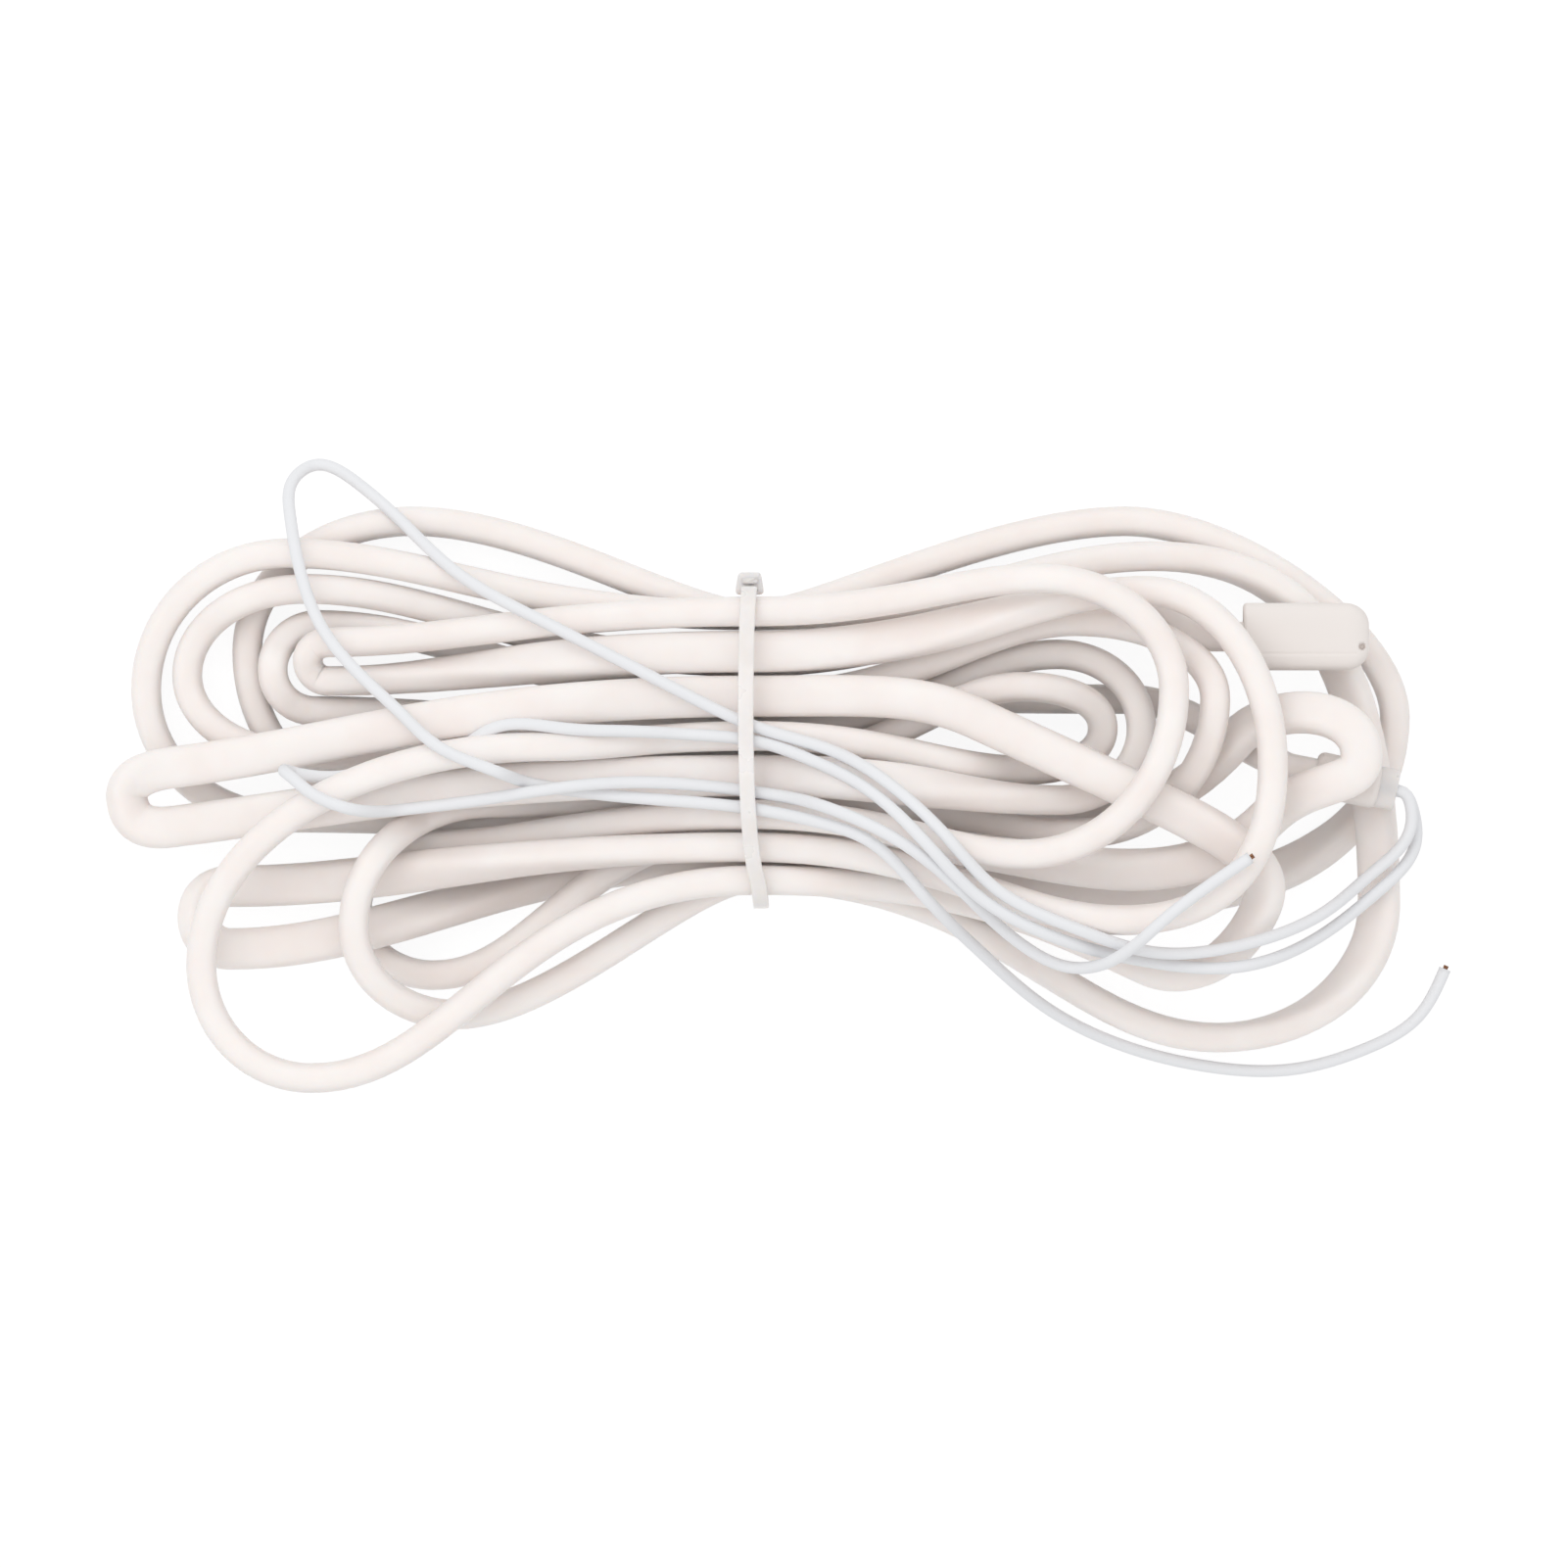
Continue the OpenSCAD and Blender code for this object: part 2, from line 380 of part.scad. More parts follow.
// Splice: the cord's two cores butt to the cold leads inside a moulded cover
splice_in = splice_grip * k;
lead_x = splice_len - 1.2;
lead_z = lead_d / 2 + 0.3;
module splice_end_cores() {
    color(copper_col) on_splice() for (s = [-1, 1])
        bar(strand_d, splice_in, splice_in + 1.9, 0, s * lead_z);
}
module butt_crimp(s) {
    color(tin_col) on_splice() difference() {
        bar(crimp_d, splice_in + 0.5, lead_x, 0, s * lead_z);
        bar(strand_d + 0.1, splice_in, splice_len, 0, s * lead_z);
    }
}
module butt_crimp_1() { butt_crimp(1); }
module butt_crimp_2() { butt_crimp(-1); }
module splice_cover() {
    color(seal_col) on_splice() difference() {
        moulding(splice_len, splice_w, splice_h, 1.2, 2.2);
        cord_pocket(splice_in, fit);
        for (s = [-1, 1]) {
            bar(crimp_d + 0.16, splice_in - 0.01, lead_x + 0.01, 0, s * lead_z);
            bar(lead_d + 2 * lead_fit, lead_x, splice_len + 0.01, 0, s * lead_z);
        }
    }
}
module splice_sleeve() {
    color(tie_col) on_splice() difference() {
        translate([splice_len, 0, 0]) rotate([90, 0, 90]) linear_extrude(sleeve_len)
            translate([-splice_w / 2 + 0.3, 0]) soft_rect(0, splice_w - 0.6, 2 * lead_z + lead_d + 1, 2.2);
        for (s = [-1, 1])
            bar(lead_d + 2 * lead_fit, splice_len - 1, splice_len + sleeve_len + 1, 0, s * lead_z);
    }
}

// Cold leads, as tubes through the points of their routes, each with its wire inside
function from_splice(x, z) = [
    splice_at[0] * k + x * cos(splice_a),
    splice_at[1] * k + x * sin(splice_a),
    (splice_at[2] - 2 * hw * rest_cut) * k + z];
function lead_route(rows, s, x0) = concat(
    [for (x = [x0, splice_len + sleeve_len, splice_len + sleeve_len + 1]) from_splice(x, s * lead_z)],
    rows * k);
function longer(p, d) = concat(p, [p[len(p) - 1] + d * unit(p[len(p) - 1] - p[len(p) - 2])]);
function hoop(p, i, r) =
    let (t = unit(p[min(i + 1, len(p) - 1)] - p[max(i - 1, 0)]),
         u = unit([-t[1], t[0], 0]), v = cross(t, u))
    [for (a = [22.5:45:360]) p[i] + r * (cos(a) * u + sin(a) * v)];
module tube(p, r) { skin([for (i = [0:len(p) - 1]) hoop(p, i, r)], 8); }
// Bored tube: its outer rings, then as many inner ones, joined at both ends
module bored_tube(p, r, r_bore, m = 8) {
    n = len(p);
    q = n * m;
    polyhedron(convexity = 10,
        points = [for (a = [r, r_bore]) for (i = [0:n - 1]) for (v = hoop(p, i, a)) v],
        faces = [for (j = [0:m - 1]) let(t = (j + 1) % m, o = (n - 1) * m) each concat(
            [[j, t, q + j], [t, q + t, q + j], [o + t, o + j, q + o + j], [o + t, q + o + j, q + o + t]],
            [for (a = [j:m:j + (n - 2) * m]) let(b = a - j + t)
                each [[a, a + m, b], [b, a + m, b + m],
                    [q + a, q + b, q + a + m], [q + b, q + b + m, q + a + m]]])]);
}
module lead_insulation(rows, s) {
    color(lead_col) bored_tube(lead_route(rows, s, lead_x), lead_d / 2, strand_d / 2 + 0.1);
}
module lead_conductor(rows, s) {
    color(copper_col) tube(longer(lead_route(rows, s, splice_in + 2), bare_len), strand_d / 2);
}
module lead_1_insulation() { lead_insulation(LEAD_1, 1); }
module lead_1_conductor() { lead_conductor(LEAD_1, 1); }
module lead_2_insulation() { lead_insulation(LEAD_2, -1); }
module lead_2_conductor() { lead_conductor(LEAD_2, -1); }

// Cable tie: a strap drawn round the waist, through its own head and cut off short.
// Its loop is drawn in the plane across the waist, as [Y, Z] down the strap's middle.
// Its two sides stand clear of the outermost runs in the tie.
side_out = max(D1[0], M1[0], U1[0] - 0.6) + hw;
side_in = min(D4[0] - 2.4, M8[0], U8[0] + 0.4) - hw;
TIE = [[side_out + 1.9, 13.5], [side_out + 1.9, 21.5], [side_out + 0.3, 25.2], [3.5, 27.4],
    [-10.5, 28.3], [-18, 27], [side_in - 0.7, 25.2], [side_in - 2.2, 21.5], [side_in - 2.2, 9],
    [side_in + 1, 1.8], [side_in + 3, 0.55], [side_out, 0.55], [side_out + 2, 2.5],
    [side_out + 3.3, 8.5], [side_out + 3.3, 15.2]];
head_size = [4.8, 4.2, 5];      // across the strap, outwards and up
head_at = [side_out + 3, 8.5];  // its middle in Y, its foot in Z
module strap(path) {
    for (i = [0:len(path) - 2]) let (d = path[i + 1] - path[i])
        translate(path[i]) rotate(atan2(d[1], d[0])) translate([0, -tie_t / 2]) square([norm(d), tie_t]);
    for (q = path) translate(q) circle(d = tie_t, $fn = 24);
}
module cable_tie() {
    color(tie_col) translate([-0.9, 0, 0]) rotate([0, 0, tie_turn]) {
        rotate([90, 0, 90]) translate([0, 0, -tie_w / 2]) linear_extrude(tie_w) strap(TIE * k);
        translate([0, head_at[0] * k, head_at[1] * k]) linear_extrude(head_size[2])
            translate([-head_size[0] / 2, 0]) soft_rect(0, head_size[0], head_size[1], 0.6);
    }
}

heater_cord();
seal_end_cores();
bridge_crimp();
end_seal();
splice_end_cores();
butt_crimp_1();
butt_crimp_2();
splice_cover();
splice_sleeve();
lead_1_insulation();
lead_1_conductor();
lead_2_insulation();
lead_2_conductor();
cable_tie();
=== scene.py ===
"""Drain line heating cable: a silicone cord folded in a hank, tied, with its moulded ends and leads.

Tables and fields are in millimetres and degrees. Meshes are put down in metres.
"""
import logging
from dataclasses import dataclass
from enum import Enum

import bpy
import numpy as np
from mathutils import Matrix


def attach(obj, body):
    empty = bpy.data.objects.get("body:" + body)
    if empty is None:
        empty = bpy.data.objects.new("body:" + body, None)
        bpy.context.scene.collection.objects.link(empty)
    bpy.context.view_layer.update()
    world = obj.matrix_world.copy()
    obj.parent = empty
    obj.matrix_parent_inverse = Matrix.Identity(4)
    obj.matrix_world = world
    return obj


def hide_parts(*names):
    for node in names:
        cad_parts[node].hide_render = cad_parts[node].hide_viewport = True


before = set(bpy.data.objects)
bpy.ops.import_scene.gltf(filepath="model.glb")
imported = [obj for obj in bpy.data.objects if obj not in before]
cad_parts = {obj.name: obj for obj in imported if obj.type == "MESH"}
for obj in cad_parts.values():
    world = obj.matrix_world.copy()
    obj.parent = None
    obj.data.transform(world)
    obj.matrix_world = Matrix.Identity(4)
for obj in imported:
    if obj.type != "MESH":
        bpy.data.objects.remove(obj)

LOG = logging.getLogger("heating_cable")
MM = 0.001
UP = np.array([0.0, 0.0, 1.0])
ROOT = "root"


# ---------------------------------------------------------------- numbers along curves

def turned(vector: np.ndarray, degrees: float) -> np.ndarray:
    """Returns a plan vector turned anticlockwise: the usual rotation by cosine and sine."""
    c, s = np.cos(np.radians(degrees)), np.sin(np.radians(degrees))
    return np.array([c * vector[0] - s * vector[1], s * vector[0] + c * vector[1]])


def eased(t: np.ndarray) -> np.ndarray:
    """Returns 3 t squared less 2 t cubed, which leaves 0 and reaches 1 level."""
    return t * t * (3 - 2 * t)


def unit(vectors: np.ndarray) -> np.ndarray:
    """Returns rows of vectors over their lengths."""
    return vectors / np.linalg.norm(vectors, axis=-1, keepdims=True)


def run_lengths(points: np.ndarray) -> np.ndarray:
    """Returns the length along a polyline up to each of its points, from 0."""
    return np.concatenate([[0.0], np.cumsum(np.linalg.norm(np.diff(points, axis=0), axis=1))])


def hermite(x: np.ndarray, y: np.ndarray, slopes: np.ndarray, at: np.ndarray) -> np.ndarray:
    """Values of the cubic that takes each knot's value and slope.

    Args:
        x: Rising knots.
        y: Value at each knot.
        slopes: Slope at each knot.
        at: Where it is read.

    Returns:
        The cubic h00 y0 + h10 h m0 + h01 y1 + h11 h m1 of each span, at the given places.
    """
    i = np.clip(np.searchsorted(x, at, side="right") - 1, 0, len(x) - 2)
    h = x[i + 1] - x[i]
    t = (at - x[i]) / h
    return ((1 + 2 * t) * (1 - t) ** 2 * y[i] + t * (1 - t) ** 2 * h * slopes[i]
            + t * t * (3 - 2 * t) * y[i + 1] + t * t * (t - 1) * h * slopes[i + 1])


def without_overshoot(x: np.ndarray, y: np.ndarray, at: np.ndarray) -> np.ndarray:
    """A smooth curve through knots that never rises past them.

    A knot's slope is the weighted harmonic mean of its two spans' slopes, and 0 at a peak.

    Args:
        x: Rising knots.
        y: Value at each knot.
        at: Where it is read.

    Returns:
        The values there.
    """
    h = np.diff(x)
    d = np.diff(y) / h
    w1, w2 = 2 * h[1:] + h[:-1], h[1:] + 2 * h[:-1]
    rising = d[:-1] * d[1:] > 0
    a, b = np.where(rising, d[:-1], 1), np.where(rising, d[1:], 1)
    inner = np.where(rising, (w1 + w2) / (w1 / a + w2 / b), 0)
    return hermite(x, y, np.concatenate([[d[0]], inner, [d[-1]]]), at)


def springy(x: np.ndarray, y: np.ndarray, at: np.ndarray) -> np.ndarray:
    """The line that a thin springy wire takes through knots, free at both ends.

    Its slopes solve the equations of a cubic whose curvature runs on through each knot.

    Args:
        x: Rising knots.
        y: Value at each knot.
        at: Where it is read.

    Returns:
        The values there.
    """
    n, h, d = len(x), np.diff(x), np.diff(y) / np.diff(x)
    k = np.arange(1, n - 1)
    left, right = np.zeros((n, n)), np.zeros(n)
    left[k, k - 1], left[k, k + 1] = h[1:], h[:-1]
    left[k, k] = 2 * (h[1:] + h[:-1])
    right[k] = 3 * (h[1:] * d[:-1] + h[:-1] * d[1:])
    left[0, :2], left[-1, -2:] = (2, 1), (1, 2)
    right[0], right[-1] = 3 * d[0], 3 * d[-1]
    return hermite(x, y, np.linalg.solve(left, right), at)


def rounded_corners(points: np.ndarray, reach: float, steps: int) -> np.ndarray:
    """Rounds a polyline's corners by a parabola each, from one side to the other.

    Args:
        points: The polyline, one point a row.
        reach: How far from a corner its curve begins.
        steps: Points to a corner.

    Returns:
        The rounded line's points.
    """
    legs = np.diff(points, axis=0)
    size = np.linalg.norm(legs, axis=1)
    share = np.minimum(reach / size, 0.48)[:, None]
    a = points[1:-1] - legs[:-1] * share[:-1]
    b = points[1:-1] + legs[1:] * share[1:]
    t = np.linspace(0, 1, steps)[None, :, None]
    bends = (1 - t) ** 2 * a[:, None] + 2 * t * (1 - t) * points[1:-1, None] + t * t * b[:, None]
    return np.concatenate([points[:1], bends.reshape(-1, points.shape[1]), points[-1:]])


def soft_outline(half_w: float, half_h: float, power: float, count: int) -> np.ndarray:
    """A superellipse: half widths times the sine and cosine to the power 2 over the power.

    Args:
        half_w: Half of its width.
        half_h: Half of its height.
        power: 2 gives an ellipse, more gives fuller corners.
        count: Points round it.

    Returns:
        Its points, anticlockwise, one a row.
    """
    a = (np.arange(count) + 0.5) / count * 2 * np.pi
    c, s = np.cos(a), np.sin(a)
    q = 2 / power
    return np.stack([half_w * np.sign(c) * np.abs(c) ** q,
                     half_h * np.sign(s) * np.abs(s) ** q], axis=1)


def frames(path: np.ndarray) -> tuple[np.ndarray, np.ndarray]:
    """Returns the level side vector and the vector square to it, at each point of a path."""
    along = unit(np.gradient(path, axis=0))
    side = unit(np.cross(UP, along))
    return side, np.cross(along, side)


def carried(outlines: np.ndarray, path: np.ndarray, turn: np.ndarray | float = 0.0) -> np.ndarray:
    """Carries a section along a path, with its first axis level and across the path.

    Args:
        outlines: One outline, or one for each point of the path, as [..., point, 2].
        path: The path's points.
        turn: Quarter turns of the section about the path.

    Returns:
        Rings of points, [ring, point, 3]: centre + u times x + v times y.
    """
    side, up = frames(path)
    w = np.radians(90 * np.broadcast_to(turn, len(path)))[:, None]
    u = side * np.cos(w) + up * np.sin(w)
    v = up * np.cos(w) - side * np.sin(w)
    o = np.broadcast_to(outlines, (len(path),) + outlines.shape[-2:])
    return path[:, None] + u[:, None] * o[..., :1] + v[:, None] * o[..., 1:]


# ---------------------------------------------------------------- meshes

@dataclass
class Shell:
    """A closed surface: points in millimetres, faces, and a place on the surface per corner."""

    points: np.ndarray
    faces: list[list[int]]
    places: np.ndarray

    @classmethod
    def lofted(cls, rings: np.ndarray) -> "Shell":
        """Joins rings with quads and closes both ends with a fan to the end ring's middle.

        The place on the surface is the length along the rings' middles and the length round
        the first full ring, in metres, so that a pattern follows the piece at its real size.

        Args:
            rings: Ring points, [ring, point, 3], anticlockwise seen against the run.

        Returns:
            The closed shell.
        """
        n, m, _ = rings.shape
        i, j = np.meshgrid(np.arange(n - 1), np.arange(m), indexing="ij")
        k = (j + 1) % m
        quads = np.stack([i * m + j, i * m + k, (i + 1) * m + k, (i + 1) * m + j], -1)
        a, b = np.arange(m), (np.arange(m) + 1) % m
        first = np.stack([b, a, np.full(m, n * m)], -1)
        last = np.stack([(n - 1) * m + a, (n - 1) * m + b, np.full(m, n * m + 1)], -1)
        middles = rings.mean(axis=1)
        along = run_lengths(middles)
        widest = np.linalg.norm(np.diff(rings, axis=1), axis=2).sum(axis=1).max()
        u = np.stack([along[i], along[i], along[i + 1], along[i + 1]], -1)
        v = np.stack([j, j + 1, j + 1, j], -1) * widest / m
        flat = np.stack([u, v], -1).reshape(-1, 2)
        caps = np.repeat([[0.0, 0.0], [along[-1], 0.0]], 3 * m, axis=0)
        return cls(np.concatenate([rings.reshape(-1, 3), middles[[0, -1]]]),
                   quads.reshape(-1, 4).tolist() + first.tolist() + last.tolist(),
                   np.concatenate([flat, caps]) * MM)

    def joined(self, other: "Shell") -> "Shell":
        """Returns one shell that holds both."""
        shift = len(self.points)
        return Shell(np.concatenate([self.points, other.points]),
                     self.faces + [[c + shift for c in f] for f in other.faces],
                     np.concatenate([self.places, other.places]))

    def put_down(self, name: str, finish: "Finish", nodes: tuple[str, ...]) -> bpy.types.Object:
        """Makes the Blender piece, smooth shaded, that stands for its CAD nodes.

        Args:
            name: The piece's name.
            finish: Its finish, which gives the material.
            nodes: The CAD nodes it replaces.

        Returns:
            The object, at the origin, riding on the root body.
        """
        mesh = bpy.data.meshes.new(name)
        mesh.from_pydata((self.points * MM).tolist(), [], self.faces)
        mesh.uv_layers.new(name="surface").data.foreach_set("uv", self.places.ravel())
        mesh.polygons.foreach_set("use_smooth", np.ones(len(self.faces), dtype=bool))
        mesh.materials.append(finish.material())
        mesh.update()
        piece = bpy.data.objects.new(name, mesh)
        bpy.context.scene.collection.objects.link(piece)
        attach(piece, ROOT)
        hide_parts(*nodes)
        LOG.info("%s: %d faces", name, len(self.faces))
        return piece


# ---------------------------------------------------------------- finishes

def linear(hex_colour: str) -> tuple[float, float, float, float]:
    """Returns an sRGB hex colour as linear red, green, blue and alpha 1."""
    v = np.array([int(hex_colour[i:i + 2], 16) for i in (1, 3, 5)]) / 255
    v = np.where(v <= 0.04045, v / 12.92, ((v + 0.055) / 1.055) ** 2.4)
    return (*(float(c) for c in v), 1.0)


def add_node(tree: bpy.types.NodeTree, kind: str, settings: dict | None = None,
             links: dict | None = None) -> bpy.types.Node:
    """Adds one node.

    Args:
        tree: The node tree.
        kind: The node's class name, without ShaderNode.
        settings: Values by attribute name, or by input name or number.
        links: Output sockets by the input they go to.

    Returns:
        The node.
    """
    node = tree.nodes.new("ShaderNode" + kind)
    for key, value in (settings or {}).items():
        if isinstance(key, str) and hasattr(node, key):
            setattr(node, key, value)
        else:
            node.inputs[key].default_value = value
    for key, socket in (links or {}).items():
        tree.links.new(socket, node.inputs[key])
    return node


@dataclass(frozen=True)
class Finish:
    """A finish: what the real material is, and the numbers that show it."""

    name: str
    slot: str
    light: str
    deep: str
    roughness: float
    ior: float = 1.41
    metallic: float = 0.0
    scatter: float = 0.0
    scatter_mm: float = 1.0
    sheen: float = 0.0
    see_through: float = 0.0
    mottle_mm: float = 9.0
    line_mm: float = 0.0
    line_depth_mm: float = 0.0
    grain_mm: float = 0.4
    grain_depth_mm: float = 0.004

    def material(self) -> bpy.types.Material:
        """Returns the material, made on first use."""
        made = bpy.data.materials.get(self.name)
        if made:
            return made
        made = bpy.data.materials.new(self.name)
        made.use_nodes = True
        tree = made.node_tree
        tree.nodes.clear()
        place = add_node(tree, "TexCoord")
        mottle = add_node(tree, "TexNoise", {
            "Scale": 1 / (self.mottle_mm * MM), "Detail": 3.0, "Roughness": 0.55,
        }, {"Vector": place.outputs["Object"]})
        colour = add_node(tree, "ValToRGB", links={"Fac": mottle.outputs["Fac"]})
        stops = colour.color_ramp.elements
        stops[0].position, stops[0].color = 0.3, linear(self.deep)
        stops[1].position, stops[1].color = 0.62, linear(self.light)
        bump = self.bumps(tree, place)
        gloss = add_node(tree, "MapRange", {"From Min": 0.3, "From Max": 0.7,
                                            "To Min": self.roughness + 0.05,
                                            "To Max": self.roughness - 0.05},
                         {"Value": mottle.outputs["Fac"]})
        skin = add_node(tree, "BsdfPrincipled", {
            "Metallic": self.metallic, "IOR": self.ior, "Subsurface Weight": self.scatter,
            "Subsurface Scale": self.scatter_mm * MM, "Subsurface Radius": (1.0, 0.82, 0.68),
            "Sheen Weight": self.sheen, "Sheen Roughness": 0.5,
            "Transmission Weight": self.see_through,
        }, {"Base Color": colour.outputs["Color"], "Roughness": gloss.outputs["Result"],
            "Normal": bump})
        add_node(tree, "OutputMaterial", links={"Surface": skin.outputs["BSDF"]})
        return made

    def bumps(self, tree: bpy.types.NodeTree, place: bpy.types.Node) -> bpy.types.NodeSocket:
        """Fine relief: a grain in all directions, and lines along the run where it has them.

        Args:
            tree: The node tree.
            place: The texture coordinate node.

        Returns:
            The normal's socket.
        """
        grain = add_node(tree, "TexNoise", {"Scale": 1 / (self.grain_mm * MM), "Detail": 2.0},
                         {"Vector": place.outputs["Object"]})
        bump = add_node(tree, "Bump", {"Strength": 1.0, "Distance": self.grain_depth_mm * MM},
                        {"Height": grain.outputs["Fac"]})
        if not self.line_mm:
            return bump.outputs["Normal"]
        # lines run sixty times as long as they are wide, along the surface's first axis
        stretch = add_node(tree, "Mapping", {"Scale": (1 / 60, 1.0, 1.0)},
                           {"Vector": place.outputs["UV"]})
        lines = add_node(tree, "TexNoise", {"Scale": 1 / (self.line_mm * MM), "Detail": 1.0},
                         {"Vector": stretch.outputs["Vector"]})
        return add_node(tree, "Bump", {"Strength": 1.0, "Distance": self.line_depth_mm * MM},
                        {"Height": lines.outputs["Fac"],
                         "Normal": bump.outputs["Normal"]}).outputs["Normal"]


# Extruded silicone rubber: soft satin with drawn lines along it, warm where light goes in.
EXTRUDED_SILICONE = Finish("extruded_silicone", "cord_silicone", "#F8F2EF", "#F4ECE8", 0.46,
                           scatter=0.35, scatter_mm=2.2, sheen=0.12, line_mm=0.5,
                           line_depth_mm=0.006, mottle_mm=14)
# Moulded silicone rubber: the same rubber from a matt mould, a little pinker.
MOULDED_SILICONE = Finish("moulded_silicone", "moulded_silicone", "#F7EDEA", "#F3E7E4", 0.5,
                          scatter=0.35, scatter_mm=2.2, sheen=0.12, grain_depth_mm=0.008)
# Silicone lead insulation: thinner and cooler white, with a smoother skin.
LEAD_SILICONE = Finish("lead_silicone", "lead_silicone", "#F6F7FA", "#F0F1F5", 0.36,
                       scatter=0.3, scatter_mm=1.2, line_mm=0.3, line_depth_mm=0.004, mottle_mm=11)
# Clear silicone sleeve: a thin wall that shows the leads as stripes.
CLEAR_SILICONE = Finish("clear_silicone", "clear_sleeve", "#F7F1EE", "#F1E9E6", 0.3,
                        scatter=0.4, scatter_mm=2.0, see_through=0.12)
# Natural nylon 6/6, moulded: milky, lets through what it lies on, and has a slight gloss.
NATURAL_NYLON = Finish("natural_nylon", "nylon", "#F3EEEC", "#EDE8E5", 0.3, ior=1.53,
                       scatter=0.5, scatter_mm=1.8, see_through=0.06, mottle_mm=6)
# Copper strand gone dull in air: brown metal, darkest between the wires.
COPPER_WIRE = Finish("copper_wire", "copper", "#A07458", "#6E4E3E", 0.42, ior=1.5, metallic=1.0,
                     mottle_mm=3, grain_mm=0.15)
# Tinned copper tube: grey metal with the dull bloom of dipped tin.
TINNED_COPPER = Finish("tinned_copper", "tinned_copper", "#C9CACC", "#A8AAAD", 0.4, ior=1.5,
                       metallic=1.0, mottle_mm=2, grain_mm=0.3)


# ---------------------------------------------------------------- the heating cord

class Place(Enum):
    """Places of the cord in the tie: across, height, and 0 on edge or 1 flat."""

    U1 = (22.6, 20.6, 0)
    U2 = (15.9, 19.6, 1)
    U3 = (8.4, 19.6, 1)
    U4 = (1.75, 20.6, 0)
    U5 = (-4.9, 19.6, 1)
    U6 = (-11.4, 20.6, 0)
    U7 = (-16.9, 20.6, 0)
    U8 = (-22.4, 20.6, 0)
    M1 = (22, 13, 0)
    M2 = (14.2, 13, 0)
    M3 = (8.4, 13, 0)
    M4 = (2.8, 13, 0)
    M5 = (-2.8, 13, 0)
    M6 = (-8.4, 13, 0)
    M7 = (-14, 13, 0)
    M8 = (-22, 13, 0)
    D1 = (22, 5.4, 0)
    D2 = (8.4, 5.4, 0)
    D3 = (-13.6, 5.4, 0)
    D4 = (-19.6, 5.4, 0)


PULLS = (0.5, 0.3, 0.56, 0.56, 0.56, 0.56, 0.3, 0.5)


@dataclass(frozen=True)
class Loop:
    """One loop of the hank: out of the tie, round a tip and back into the tie.

    layers are the heap's layers by the tie, at shoulder, tip and shoulder, and by the tie again.
    turns and headings are those at the three points, and pulls are shares of the arcs' spans.
    """

    side: int
    backwards: bool
    start: Place
    stop: Place
    shoulder: tuple[float, float]
    tip: tuple[float, float]
    return_shoulder: tuple[float, float]
    layers: tuple[float, ...]
    turns: tuple[float, ...] = (0, 0, 0)
    headings: tuple[float, ...] = (0, 0, 0)
    pulls: tuple[float, ...] = PULLS


@dataclass(frozen=True)
class Arc:
    """A cubic arc in plan, read from one parameter to another, with a ring at each gap."""

    control: np.ndarray
    begin: float
    end: float
    gaps: int

    def points(self, per_gap: int) -> np.ndarray:
        """Returns its points but the last: the Bezier sum of its four control points."""
        t = (self.begin + (self.end - self.begin)
             * np.arange(self.gaps * per_gap) / (self.gaps * per_gap))[:, None]
        c = self.control
        return ((1 - t) ** 3 * c[0] + 3 * (1 - t) ** 2 * t * c[1]
                + 3 * (1 - t) * t * t * c[2] + t ** 3 * c[3])

    def backwards(self) -> "Arc":
        """Returns the same arc run the other way."""
        return Arc(self.control[::-1], 1 - self.end, 1 - self.begin, self.gaps)


def straight(a: np.ndarray, b: np.ndarray) -> Arc:
    """Returns a straight run as an arc of one gap."""
    return Arc(np.array([a, a + (b - a) / 3, a + (b - a) * 2 / 3, b]), 0, 1, 1)


